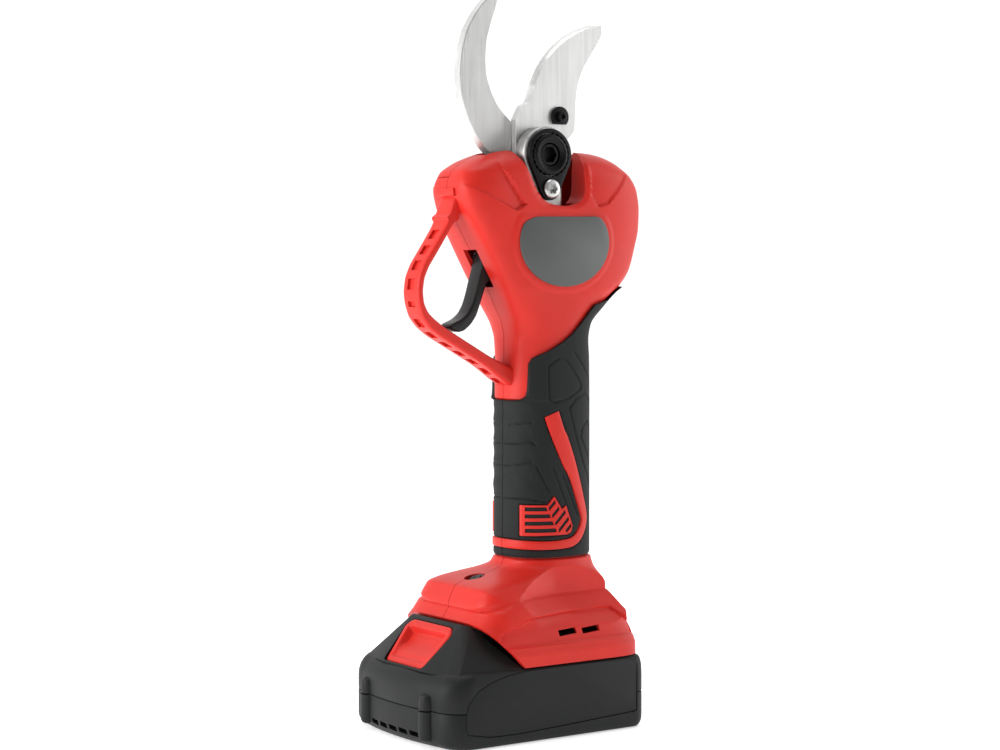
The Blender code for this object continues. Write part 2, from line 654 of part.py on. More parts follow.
def make_sector(mats):
    """The bevel sector: a face of teeth round the pivot, on a sleeve that carries the blade."""
    slope = BEVEL_TEETH / SECTOR_TEETH
    reach = [c * math.cos(math.atan(slope)) for c in CONE]
    rings = []
    pitch = 360 / SECTOR_TEETH
    for k in range(7):
        middle = 270.0 - pitch * (k - 0.5)
        for share, lift in ((-0.29, 1.15), (-0.13, -0.8), (0.13, -0.8), (0.29, 1.15)):
            t = math.radians(middle - share * pitch)
            c, s = math.cos(t), math.sin(t)
            low, high = (r * slope + lift * r / reach[1] for r in reach)
            rings.append([
                (DRIVE_X + c * reach[0], low, PIVOT_Z + s * reach[0]),
                (DRIVE_X + c * reach[1], high, PIVOT_Z + s * reach[1]),
                (DRIVE_X + c * reach[1], 10.6, PIVOT_Z + s * reach[1]),
                (DRIVE_X + c * reach[0], 10.6, PIVOT_Z + s * reach[0]),
            ])
    sector = add_object("sector_gear", loft(rings), mats["dark_steel"])
    web = [(DRIVE_X, PIVOT_Z), *arc(PIVOT, reach[0] + 1.0, 197, 272, 8)]
    parts = [
        rod(PIVOT, 8.6, 3.4, 10.6, count=24),
        rod(PIVOT, SLEEVE, -5.6, 5.0, count=24),
        prism(web, 6.6, 10.6),
    ]
    join(sector, *[add_object("web", c, mats["dark_steel"]) for c in parts])
    return cut(sector, add_object("bore", rod(PIVOT, BOLT + GAP, -9, 12, count=20), mats["dark_steel"]))


def make_drive(mats):
    axis = (DRIVE_X, 0.0)
    make_sector(mats)
    # pinion: one end at each cone distance, with a plain hub below its teeth
    share = math.atan(BEVEL_TEETH / SECTOR_TEETH)
    rings = []
    for cone in (CONE[1], CONE[0]):
        pitch = cone * math.sin(share)
        size = cone / CONE[1]
        outline = gear_outline(BEVEL_TEETH, pitch, 0.7 * size, 1.1 * size, 0.25)
        height = PIVOT_Z - cone * math.cos(share)
        rings.append([(a + DRIVE_X, b, height) for a, b in outline])
    pinion = add_object("bevel_pinion", loft(rings), mats["dark_steel"])
    low = PIVOT_Z - CONE[1] * math.cos(share)
    join(pinion, add_object("hub", rod(axis, 4.4, low - 6, low + 1, "Z", 18), mats["dark_steel"]))
    cut(pinion, add_object("bore", rod(axis, 2.2, 200, 240, "Z", 14), mats["dark_steel"]))

    carrier = add_object("planet_carrier", rod(axis, 8.8, 190.2, 193.0, "Z", 24), mats["dark_steel"])
    parts = [rod(axis, 3.3, 192, 214, "Z", 16), rod(axis, 1.9, 213, 232.0, "Z", 14)]
    for k in range(3):
        t = 2 * math.pi * k / 3
        pin = (DRIVE_X + PLANET_ORBIT * math.cos(t), PLANET_ORBIT * math.sin(t))
        parts.append(rod(pin, 1.1, 181.4, 191, "Z", 10))
        outline = gear_outline(PLANET_TEETH, MODULE * PLANET_TEETH / 2, 0.45, 0.7, 0.5)
        planet = add_object(
            f"planet_gear_{k + 1}", prism(moved(outline, *pin), 181.6, 189.8, "Z"), mats["dark_steel"]
        )
        bore = rod(pin, 1.1 + GAP, 170, 200, "Z", 10)
        cut(planet, add_object("bore", bore, mats["dark_steel"]))
    join(carrier, *[add_object("shaft", c, mats["dark_steel"]) for c in parts])

    ring = add_object("ring_gear", rod(axis, 11.8, 178.2, 194.6, "Z", 33), mats["dark_steel"])
    inside = gear_outline(RING_TEETH, MODULE * RING_TEETH / 2, 0.75, 0.45, 0.5, 0.60)
    cut(ring, add_object("bore", prism(moved(inside, *axis), 170, 200, "Z"), mats["dark_steel"]))
    sun = gear_outline(SUN_TEETH, MODULE * SUN_TEETH / 2, 0.45, 0.7, 0.0)
    sun = add_object("sun_gear", prism(moved(sun, *axis), 181.0, 189.6, "Z"), mats["dark_steel"])
    cut(sun, add_object("bore", rod(axis, 1.2 + 0.2, 170, 200, "Z", 10), mats["dark_steel"]))
    add_object("output_bearing", tube(axis, 6.5, 3.6, 198.0, 205.0, "Z"), mats["bright"])

    can = [(0, 142.6), (10.0, 142.6), (11.3, 144.0), (11.3, 174.4), (10.0, 174.4), (10.0, 146.2)]
    can += [(4.4, 146.2), (4.4, 144.2), (0, 144.2)]
    add_object("motor_can", turned(can, axis, "Z", 28), mats["bright"])
    add_object("motor_shaft", rod(axis, 1.2, 144.8, 189.2, "Z", 12), mats["bright"])
    add_object("motor_bearing_rear", tube(axis, 4.1, 1.5, 144.6, 147.6, "Z", 16), mats["bright"])
    add_object("motor_bearing_front", tube(axis, 4.1, 1.5, 174.9, 177.4, "Z", 16), mats["bright"])
    add_object("motor_end_cap", tube(axis, 11.3, 4.4, 174.7, 177.9, "Z", 28), mats["black"])
    poles = []
    for k in range(6):
        middle = 60 * k
        poles += arc(axis, 9.4, middle - 23, middle + 23, 4)
        poles += [(axis[0] + 6 * math.cos(t), axis[1] + 6 * math.sin(t)) for t in [math.radians(middle + 30)]]
    core = add_object("rotor_core", prism(poles, 150.0, 171.0, "Z"), mats["copper"])
    cut(core, add_object("bore", rod(axis, 1.2 + 0.2, 140, 180, "Z", 12), mats["copper"]))


# ---------------------------------------------------------------- trigger, switch, button

TRIGGER_PIVOT = (-29.0, 200.5)


def coil(start, end, radius, wire, turns, steps=8, sides=5):
    """A round-wire spring between two points."""
    a, b = Vector(start), Vector(end)
    axis = (b - a).normalized()
    side = axis.orthogonal().normalized()
    up = axis.cross(side)
    rings = []
    total = turns * steps
    for k in range(total + 1):
        t = 2 * math.pi * k / steps
        out = side * math.cos(t) + up * math.sin(t)
        center = a + (b - a) * (k / total) + out * radius
        ring = []
        for j in range(sides):
            w = 2 * math.pi * j / sides
            ring.append(tuple(center + out * wire * math.cos(w) + axis * wire * math.sin(w)))
        rings.append(ring)
    return loft(rings)


def make_controls(mats):
    front = [(-31.6, 204.6), (-32.9, 201.2), (-34.1, 197.6), (-36.1, 191.8), (-38.0, 185.7)]
    front += [(-39.9, 180.6), (-42.0, 177.3), (-45.0, 174.9), (-48.6, 173.4), (-50.1, 172.2)]
    back = [(-50.4, 171.2), (-48.8, 170.2), (-46.2, 169.0), (-43.0, 169.6), (-39.3, 172.4)]
    back += [(-36.8, 176.1), (-34.9, 180.8), (-33.7, 184.4), (-31.8, 189.6), (-28.0, 193.5)]
    back += [(-25.6, 197.0), (-25.6, 201.0), (-27.6, 204.4)]
    outline = front + back
    middle = Vector((-36.6, 182.6))
    trim = [tuple(Vector(p) + (middle - Vector(p)).normalized() * 0.9) for p in outline]
    levels = ((trim, -4.5), (outline, -3.6), (outline, 3.6), (trim, 4.5))
    rings = [[(x, y, z) for x, z in o] for o, y in levels]
    trigger = add_object("trigger", loft(rings), mats["black"])
    cut(trigger, add_object("bore", rod(TRIGGER_PIVOT, 1.5 + GAP, -9, 9, count=12), mats["black"]))
    add_object("trigger_pin", rod(TRIGGER_PIVOT, 1.5, -8.0, 8.0, count=12), mats["bright"])
    board = add_object("trigger_sensor", box((-20.2, -19.0), (-8, 8), (184, 202)), mats["board"])
    chip = box((-22.0, -20.0), (-3, 3), (188, 194))
    plug = box((-22.4, -20.0), (-6, 6), (197, 201))
    join(board, *[add_object("chip", c, mats["board"]) for c in (chip, plug)])
    x, z = TRIGGER_PIVOT
    add_object("trigger_spring", coil((x, 5.6, z), (x, 7.6, z), 2.5, 0.35, 3), mats["bright"])

    add_object("power_button_bezel", make_bezel(), mats["black"])
    add_object("power_button", button_frame(prism(circle((0, 0), 2.6), -3.0, 1.2, "Z")), mats["black"])


def make_bezel():
    outer, inner = circle((0, 0), 4.1), circle((0, 0), 2.9)
    bm = bmesh.new()
    rings = []
    for outline, height in ((outer, -2.4), (outer, 0.5), (inner, 0.5), (inner, -2.4)):
        rings.append([bm.verts.new((x, y, height)) for x, y in outline])
    for low, high in zip(rings, rings[1:] + rings[:1]):
        for i in range(len(low)):
            j = (i + 1) % len(low)
            bm.faces.new((low[i], low[j], high[j], high[i]))
    return button_frame(bm)


# ---------------------------------------------------------------- controller and pack rails

CHANNEL_FRONT, CHANNEL_REAR = -33.0, 19.0


def make_base_parts(mats):
    board = add_object("controller_board", box((9.6, 11.2), (-10.6, 10.6), (78, 138)), mats["board"])
    chips = [box((5.6, 9.9), (-9.4, -3.4), (z, z + 9)) for z in (84, 96, 108)]
    chips += [rod((7.2, 6.0), 3.2, 84, 97, "Z", 12), box((6.0, 9.9), (2, 9.6), (108, 120))]
    join(board, *[add_object("chip", c, mats["board"]) for c in chips])

    outline = [
        (-29, 33), (-15.4, 33), (-15.4, 36), (-18.4, 36), (-18.4, 39.4), (18.4, 39.4), (18.4, 36),
        (15.4, 36), (15.4, 33), (29, 33), (29, 41.6), (-29, 41.6),
    ]
    plate = add_object("rail_plate", prism(outline, CHANNEL_FRONT, CHANNEL_REAR, "X"), mats["black"])
    block = add_object("terminal_block", box((9.4, 18.8), (-15.0, 15.0), (32.2, 39.0)), mats["black"])
    for y in (-7.0, 7.0):
        slot = box((5, 15), (y - 0.8, y + 0.8), (33.0, 37.4))
        cut(block, add_object("slot", slot, mats["black"]))
    for name, y in (("terminal_positive", -7.0), ("terminal_negative", 7.0)):
        add_object(name, box((-3.0, 14.4), (y - 0.45, y + 0.45), (33.4, 37.0)), mats["copper"])
    return plate


# ---------------------------------------------------------------- battery pack


def pack_outline(inset=0.0, back=0.0):
    """Plan of the pack: a rectangle with round corners and a bowed front, which may lie
    further back than the sides are drawn in."""
    half, front, rear = PACK_HALF - inset, PACK_FRONT + inset + back, PACK_REAR - inset
    big, small, bow = 11.0 - inset, 6.0 - inset, 3.0
    points = arc((rear - small, half - small), small, 0, 90, 4)
    points += arc((front + bow + big, half - big), big, 90, 175, 6)
    points += [(front + bow * (y / (half - big)) ** 2, y) for y in (20.0, 10.0, 0.0, -10.0, -20.0)]
    points += arc((front + bow + big, big - half), big, 185, 270, 6)
    points += arc((rear - small, small - half), small, 270, 360, 4)
    return points


def pack_rings(rows):
    return [[(x, y, z) for x, y in pack_outline(inset, back)] for inset, z, back in rows]


LATCH_SLOPE = math.degrees(math.atan2(46.3 - 29.9, 70.4 - 56.0))
LATCH_AT = (-63.2, 38.1)


def on_latch_face(bm):
    """Places a solid drawn flat at the origin on the sloping front of the pack."""
    turn = Matrix.Rotation(math.radians(-LATCH_SLOPE), 4, "Y")
    place = Matrix.Translation((LATCH_AT[0], 0, LATCH_AT[1]))
    bmesh.ops.transform(bm, matrix=place @ turn, verts=bm.verts)
    return bm


def latch_outline(grow=0.0):
    """Plan of the latch button on its slope; local +X is uphill."""
    g = grow
    return [
        (10.9 + g, -14.5 - g), (10.9 + g, 14.5 + g), (7.5, 17.5 + g), (-10.9 - g, 14.5 + g),
        (-10.9 - g, -14.5 - g), (7.5, -17.5 - g),
    ]


def hull(points):
    """The convex solid round a set of points."""
    bm = bmesh.new()
    for p in points:
        bm.verts.new(p)
    made = bmesh.ops.convex_hull(bm, input=bm.verts)
    loose = [g for g in made["geom_interior"] if isinstance(g, bmesh.types.BMVert)]
    bmesh.ops.delete(bm, geom=loose, context="VERTS")
    return bm


def side_panels(mats):
    """Cutters for the shallow label panel on each side of the pack."""
    outline = [(-66.0, 20.8), (-63.0, 24.4), (-54.7, 28.2), (-37.2, 29.8)]
    outline += [(18.0, 29.6), (18.0, 18.0), (-66.0, 18.0)]
    for side in (-1, 1):
        ends = sorted((side * (PACK_HALF - 0.8), side * 50))
        yield add_object("panel", prism(outline, *ends), mats["black"])


def make_pack(mats):
    low = PACK_SPLIT - GAP / 2
    rows = [(2.4, 0.0, 2.4), (0.8, 1.4, 1.2), (0.2, 3.4, 0.2), (0.0, low, 0.0)]
    rows += [(2.3, low, 0.0), (2.3, 2.6, 1.4)]
    lower = add_object("battery_case_lower", loft(pack_rings(rows)), mats["black"])
    ribs = []
    for y in (-23.0, 23.0):
        ribs.append(rod((PACK_FRONT + 2.6, y), 3.5, 3.6, low - 0.6, "Z", 12))
    join(lower, *[add_object("rib", c, mats["black"]) for c in ribs])
    slots = [box((-80, -70), (y, y + 7.0), (4.4, 6.4)) for y in (-16.5, -3.5, 9.5)]
    cut(lower, *[add_object("slot", c, mats["black"]) for c in slots])

    high = PACK_SPLIT + GAP / 2
    rows = [(2.6, 28.6, 1.8), (2.3, high, 0.0), (0.0, high, 0.0), (0.0, 22.0, 0.0), (0.2, 26.5, 1.0)]
    rows += [(1.0, 30.0, 3.2), (2.0, PACK_TOP, 4.8)]
    upper = add_object("battery_case_upper", loft(pack_rings(rows)), mats["black"])
    wedge = hull(
        [(x, s * y, z) for s in (-1, 1) for x, y, z in (
            (-36.8, 38.4, 30.0), (-36.8, 38.4, 31.0), (-51.5, 21.5, 47.4), (-54.5, 19.0, 48.3),
            (-71.6, 22.0, 30.0), (-73.0, 14.0, 30.0), (-66.5, 35.5, 30.0),
        )]
    )
    tongue = [
        box((CHANNEL_FRONT - 0.6, 8.8), (-15.0, 15.0), (30, 37)),
        box((CHANNEL_FRONT - 0.6, 8.8), (-18.0, 18.0), (36.4, 39.0)),
    ]
    join(upper, *[add_object("wedge", c, mats["black"]) for c in (wedge, *tongue)])
    cutters = [on_latch_face(prism(latch_outline(0.4), -6.5, 12, "Z"))]
    cutters += [on_latch_face(rod((0, 0), 4.2, -9.4, -6.0, "Z", 16))]
    cutters += [box((-8, 12), (y - 0.8, y + 0.8), (32.6, 37.8)) for y in (-7.0, 7.0)]
    cutters += [box((-58.0, -40.0), (-6.5, 6.5), (37.6, 44.6))]
    cut(upper, *[add_object("cutter", c, mats["black"]) for c in cutters])
    cut(upper, *side_panels(mats))

    trim = [(x * 0.92, y * 0.95) for x, y in latch_outline()]
    levels = ((latch_outline(), -3.2), (latch_outline(), 0.2), (trim, 1.0))
    rings = [[(x, y, z) for x, y in o] for o, z in levels]
    latch = add_object("battery_latch", on_latch_face(loft(rings)), mats["red"])
    scoop = turned([(0, 20.5), (6, 21.2), (11, 23.4), (14, 26.0), (0, 40)], (0, 0), "Z", 16)
    bmesh.ops.translate(scoop, vec=(0, 0, -21.6), verts=scoop.verts)
    cut(latch, add_object("scoop", on_latch_face(scoop), mats["red"]))
    catch = box((-56.5, -43.0), (-5.6, 5.6), (39.6, 43.4))
    join(latch, add_object("catch", catch, mats["red"]))
    base = on_latch_face(coil((0, 0, -6.2), (0, 0, -3.8), 3.2, 0.3, 3))
    add_object("latch_spring", base, mats["bright"])

    for k in range(5):
        x = -60.5 + 18.42 * k
        profile = [(0, -32.4), (8.2, -32.4), (9.1, -31.6), (9.1, 31.2), (8.2, 32.0), (2.6, 32.0)]
        profile += [(2.6, 32.8), (0, 32.8)]
        add_object(f"cell_{k + 1}", turned(profile, (x, 12.4), "Y", 16), mats["cell"])
    board = add_object("battery_board", box((-60.0, 12.0), (-24.0, 24.0), (23.0, 24.6)), mats["board"])
    chips = [box((-20, -8), (-8, 8), (24.4, 27.4)), box((-48, -40), (6, 16), (24.4, 26.6))]
    join(board, *[add_object("chip", c, mats["board"]) for c in chips])


def clear_scene():
    for obj in list(bpy.data.objects):
        bpy.data.objects.remove(obj)


def main():
    clear_scene()
    mats = make_materials()
    make_housing(mats)
    make_housing_screws(mats)
    make_grip_and_badges(mats)
    make_guard(mats)
    make_blades(mats)
    make_pivot(mats)
    make_drive(mats)
    make_controls(mats)
    make_base_parts(mats)
    make_pack(mats)


main()
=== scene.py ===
"""The looks of the battery pruner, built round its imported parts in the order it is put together.

Sizes are in millimetres and meshes in metres. Z is up along the grip, -X is the trigger
side, -Y is the cheek with the pivot nut.
"""

import math

import bmesh
import bpy
import numpy as np
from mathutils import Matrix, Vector


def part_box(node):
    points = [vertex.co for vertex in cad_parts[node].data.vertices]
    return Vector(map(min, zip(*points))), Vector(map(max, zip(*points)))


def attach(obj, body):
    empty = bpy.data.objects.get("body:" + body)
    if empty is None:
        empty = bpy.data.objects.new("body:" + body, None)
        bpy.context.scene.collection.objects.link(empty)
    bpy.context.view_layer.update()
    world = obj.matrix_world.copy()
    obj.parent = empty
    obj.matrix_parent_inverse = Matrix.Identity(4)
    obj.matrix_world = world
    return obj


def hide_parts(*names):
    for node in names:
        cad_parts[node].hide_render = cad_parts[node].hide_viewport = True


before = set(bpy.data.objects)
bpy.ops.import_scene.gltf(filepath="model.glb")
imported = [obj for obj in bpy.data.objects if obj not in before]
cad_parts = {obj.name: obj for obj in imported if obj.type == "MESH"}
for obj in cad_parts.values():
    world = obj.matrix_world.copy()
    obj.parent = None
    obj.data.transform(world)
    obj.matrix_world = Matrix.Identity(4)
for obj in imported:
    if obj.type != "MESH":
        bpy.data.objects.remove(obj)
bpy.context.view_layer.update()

# ------------------------------------------------------------------ red housing halves
# Two glass-filled nylon mouldings, mirror images that meet on the middle plane with a
# fine seam. Each is one walled shell from the pack rails up to the two humps of the head,
# spark-textured outside, with a U cut in its cheek for the pivot nut.
MM = 0.001
SEAM = 0.15
SHELL_WALL = 2.2
HOUSING_ROWS = np.array([
    # height, front, rear, half thickness, corner power at the rear and at the front
    (31.3, -63.0, 26.6, 39.2, 9.0, 9.0),
    (36.2, -60.5, 26.6, 39.0, 9.0, 9.0),
    (37.4, -59.6, 26.6, 38.2, 9.0, 9.0),
    (40.6, -57.6, 26.6, 36.6, 8.5, 8.5),
    (46.5, -53.4, 25.9, 33.6, 7.0, 7.0),
    (52.2, -49.4, 23.0, 30.6, 6.0, 6.0),
    (52.9, -48.4, 22.4, 29.6, 6.0, 6.0),
    (53.6, -48.8, 22.0, 29.3, 6.0, 6.0),
    (55.2, -48.6, 21.4, 28.0, 5.6, 8.0),
    (58.6, -46.2, 20.8, 25.8, 5.0, 7.6),
    (61.0, -41.8, 20.4, 24.0, 4.4, 6.6),
    (63.4, -34.0, 20.3, 22.0, 3.8, 5.0),
    (65.6, -26.4, 20.3, 20.2, 3.3, 3.8),
    (68.4, -21.8, 20.4, 18.8, 2.9, 2.9),
    (71.0, -20.7, 20.4, 18.1, 2.7, 2.7),
    (71.8, -20.6, 20.4, 18.0, 2.6, 2.6),
    (72.3, -19.4, 18.8, 16.4, 2.45, 2.45),
    (139.4, -19.2, 18.7, 16.3, 2.45, 2.45),
    (140.2, -20.6, 18.6, 16.4, 2.5, 2.5),
    (158.0, -20.2, 18.0, 16.5, 2.6, 2.6),
    (166.0, -20.2, 17.2, 16.7, 2.7, 2.8),
    (172.0, -21.1, 18.2, 16.9, 2.8, 3.4),
    (180.0, -24.9, 25.4, 17.2, 3.0, 4.6),
    (186.0, -27.9, 31.8, 17.7, 3.2, 5.6),
    (188.4, -29.0, 35.4, 18.0, 3.2, 6.0),
    (196.0, -33.3, 41.0, 18.3, 3.4, 6.2),
    (205.0, -38.4, 43.7, 18.5, 3.6, 6.2),
    (214.0, -43.5, 45.7, 18.5, 3.8, 6.0),
    (222.0, -47.5, 46.2, 18.5, 3.8, 5.6),
    (230.0, -49.4, 45.2, 18.4, 3.7, 5.2),
    (236.0, -47.6, 42.2, 17.8, 3.5, 4.4),
    (240.5, -42.2, 37.1, 16.2, 3.2, 3.6),
    (244.0, -34.4, 31.0, 13.0, 3.0, 3.1),
    (246.0, -27.6, 24.6, 9.2, 2.8, 2.8),
    (246.8, -21.6, 19.0, 5.0, 2.4, 2.4),
])


def through(rows, at):
    """Smooth columns through the rows: a cubic between each two, whose slopes are the
    harmonic mean of the neighbouring slopes, so it never overshoots a row."""
    x, y = rows[:, :1], rows[:, 1:]
    step = np.diff(x, axis=0)
    rise = np.diff(y, axis=0) / step
    slope = np.zeros_like(y)
    both = rise[:-1] * rise[1:]
    with np.errstate(divide="ignore", invalid="ignore"):
        slope[1:-1] = np.where(both > 0, 2 * both / (rise[:-1] + rise[1:]), 0.0)
    slope[0], slope[-1] = rise[0], rise[-1]
    k = np.clip(np.searchsorted(x[:, 0], at) - 1, 0, len(x) - 2)
    s = ((at - x[k, 0]) / step[k, 0])[:, None]
    d = step[k]
    return (
        y[k] * (1 + 2 * s) * (1 - s) ** 2
        + y[k + 1] * s**2 * (3 - 2 * s)
        + d * slope[k] * s * (1 - s) ** 2
        - d * slope[k + 1] * s**2 * (1 - s)
    )


def body_point(t, z, grow=0.0):
    """Outside of the tool at angle t round the section (0 rear, pi front) and height z:
    a superellipse, x = middle + reach cos t^(2/p), y = -half sin t^(2/p). grow, a number
    or an array, moves it outwards."""
    columns = through(HOUSING_ROWS, z.ravel()).T.reshape(5, *z.shape)
    front, rear, half, back_power, front_power = columns
    reach, middle = (rear - front) / 2 + grow, (rear + front) / 2
    c, s = np.cos(t), np.sin(t)
    power = np.where(c > 0, back_power, front_power)
    x = middle + reach * np.sign(c) * np.abs(c) ** (2 / power)
    return x, -(half + grow) * np.abs(s) ** (2 / power)


def surface(name, grid, around=False, ends=False):
    """A mesh over a grid of points in millimetres, one quad per cell; around joins the
    last column to the first, and ends fills the first and last rows."""
    rows, columns = grid.shape[:2]
    index = np.arange(rows * columns).reshape(rows, columns)
    wide = np.hstack([index, index[:, :1]]) if around else index
    quads = np.stack([wide[:-1, :-1], wide[:-1, 1:], wide[1:, 1:], wide[1:, :-1]], -1)
    faces = quads.reshape(-1, 4).tolist()
    if ends:
        faces += [index[0, ::-1].tolist(), index[-1].tolist()]
    mesh = bpy.data.meshes.new(name)
    mesh.from_pydata((grid.reshape(-1, 3) * MM).tolist(), [], faces)
    shape = bmesh.new()
    shape.from_mesh(mesh)
    bmesh.ops.remove_doubles(shape, verts=shape.verts, dist=1e-7)
    bmesh.ops.recalc_face_normals(shape, faces=shape.faces)
    shape.to_mesh(mesh)
    shape.free()
    made = bpy.data.objects.new(name, mesh)
    bpy.context.scene.collection.objects.link(made)
    return made


def extruded(name, outline, low, high, axis="Y"):
    """A straight solid: an outline of (a, b) points carried along one axis."""
    outline = np.asarray(outline, float)
    grid = np.empty((2, len(outline), 3))
    order = {"Y": (0, 2, 1), "Z": (0, 1, 2), "X": (1, 2, 0)}[axis]
    grid[:, :, order[0]], grid[:, :, order[1]] = outline[:, 0], outline[:, 1]
    grid[:, :, order[2]] = np.array([[low], [high]])
    return surface(name, grid, around=True, ends=True)


def arc(center, radius, start, end, count):
    """Points on a circular arc, in degrees, both ends included."""
    t = np.radians(np.linspace(start, end, count))
    return np.stack([center[0] + radius * np.cos(t), center[1] + radius * np.sin(t)], 1)


def combined(piece, tools, how="DIFFERENCE"):
    """Cuts each tool out of the piece, or joins it on, and keeps the finished mesh."""
    for tool in tools:
        step = piece.modifiers.new("join", "BOOLEAN")
        step.operation = how
        step.solver = "MANIFOLD"
        step.object = tool
        bpy.context.view_layer.update()
        finished = bpy.data.meshes.new_from_object(
            piece.evaluated_get(bpy.context.evaluated_depsgraph_get())
        )
        piece.modifiers.remove(step)
        piece.data = finished
        bpy.data.objects.remove(tool)
    return piece


def shaded(piece, material, angle=32):
    """Smooth shading with crisp creases, and one finish all over."""
    piece.data.materials.clear()
    piece.data.materials.append(material)
    piece.data.shade_smooth()
    piece.data.set_sharp_from_angle(angle=math.radians(angle))
    return piece


def soft(edge0, edge1, x):
    """0 below edge0, 1 above edge1, with an s-curve between."""
    s = np.clip((x - edge0) / (edge1 - edge0), 0, 1)
    return s * s * (3 - 2 * s)


def distance_to_line(px, pz, line):
    """Least distance from every point to a broken line of (x, z) corners."""
    best = np.full(px.shape, 1e9)
    for (ax, az), (bx, bz) in zip(line, line[1:]):
        dx, dz = bx - ax, bz - az
        s = np.clip(((px - ax) * dx + (pz - az) * dz) / (dx * dx + dz * dz), 0, 1)
        best = np.minimum(best, np.hypot(px - ax - s * dx, pz - az - s * dz))
    return best


def rounded(corners, count=60, passes=6, closed=False):
    """Points at even distances along a broken line, its corners rounded by repeated
    averaging of neighbours."""
    corners = np.asarray([*corners, corners[0]] if closed else corners, float)
    run = np.concatenate([[0], np.cumsum(np.hypot(*np.diff(corners, axis=0).T))])
    at = np.linspace(0, run[-1], count, endpoint=not closed)
    line = np.stack([np.interp(at, run, corners[:, k]) for k in (0, 1)], 1)
    for _ in range(passes):
        even = (np.roll(line, 1, 0) + 2 * line + np.roll(line, -1, 0)) / 4
        if not closed:
            even[[0, -1]] = line[[0, -1]]
        line = even
    return line


NOTCH = rounded([
    (-22.6, 262.0), (-22.6, 247.6), (-21.6, 244.2), (-20.2, 241.0), (-17.9, 234.8), (-15.7, 229.5),
    (-13.4, 226.2), (-10.4, 224.1), (-6.0, 223.1), (-1.0, 222.7), (3.6, 223.0), (7.4, 224.3), (9.6, 226.6),
    (10.3, 230.0), (10.3, 240.0), (10.8, 243.6), (12.6, 247.0), (17.0, 262.0),
], 90, 5)


def side_of(x, z, a, b):
    """Signed distance of points from the line a to b, positive on its left."""
    dx, dz = b[0] - a[0], b[1] - a[1]
    return (dx * (z - a[1]) - dz * (x - a[0])) / math.hypot(dx, dz)


def cheek_relief(x, z):
    """How far the cheek is sunk at a point: a tilted facet in front of the notch and one
    behind it, each deepest where it meets the collar of the notch; a rounded rim round
    the notch; and a slight rise round the badge."""
    crease = side_of(x, z, (-48.2, 230.5), (-25.9, 220.2))
    heel = side_of(x, z, (-25.9, 220.2), (-21.3, 223.0))
    step = side_of(x, z, (-22.4, 225.0), (-32.4, 239.8))
    inside = soft(0, 0.45, crease) * soft(0, 0.5, heel) * soft(0, 0.6, step)
    front = inside * (0.45 + 1.5 * np.exp(-np.maximum(step, 0) / 7.0)) * (1 - soft(233.0, 243.0, z))
    crease = side_of(x, z, (22.6, 224.1), (32.5, 234.4))
    heel = side_of(x, z, (16.5, 222.4), (22.6, 224.1))
    step = np.minimum(side_of(x, z, (12.4, 228.4), (16.5, 222.4)), x - 13.0)
    inside = soft(0, 0.45, crease) * soft(0, 0.5, heel) * soft(0, 0.8, step)
    rear = inside * (0.4 + 0.9 * np.exp(-np.maximum(step, 0) / 6.0)) * (1 - soft(234.0, 243.0, z))
    rim = distance_to_line(x, z, NOTCH)
    chamfer = 1.0 * (1 - soft(0.0, 1.7, rim)) * (z < 250)
    pad = np.hypot((x + 1.6) / 26.4, (z - 207.6) / 22.0)
    raised = 0.5 * (1 - soft(0.955, 1.03, pad)) * (1 - soft(217.6, 219.6, z))
    return front + rear + chamfer - raised


BASE_PANEL = [(-48.5, 39.0), (25.6, 39.0), (25.6, 44.0), (18.0, 51.4), (-28.0, 50.8), (-44.6, 45.2)]


def base_relief(x, z):
    """The side of the base: a sunk panel with straight sides, as deep as it can be while
    every point stays inside all the edges of its outline."""
    edges = zip(BASE_PANEL, BASE_PANEL[1:] + BASE_PANEL[:1])
    inside = np.min([side_of(x, z, a, b) for a, b in edges], axis=0)
    return 1.9 * soft(0.0, 1.0, inside)


def ledge_rise(x, z):
    """How much higher the groove above the base runs on the sides than at the front."""
    rise = np.interp(x, [-50.8, -44.0, -38.9, 0.0, 14.0, 25.0], [-0.6, 1.8, 3.4, 4.4, 4.8, 5.0])
    return rise * soft(44.0, 52.0, z) * (1 - soft(58.0, 72.0, z))


def side_limit(x, z):
    """Greatest half thickness of the base: above the groove it narrows towards the rear
    of the grip, and below it the side slopes out again."""
    rear_half = np.interp(z, [40.0, 44.5, 50.0, 56.6, 57.4, 72.0], [41.0, 35.0, 27.0, 20.0, 18.8, 18.7])
    return np.where(z < 72.0, rear_half + 15.0 * (1 - soft(-48.0, -6.0, x)), 99.0)


def rear_limit(z):
    """Furthest the back of the base reaches: it slopes in from the pack to the grip."""
    return np.interp(z, [40.0, 45.0, 56.8, 57.6, 71.9, 72.0], [27.0, 26.4, 21.2, 20.4, 20.4, 99.0])


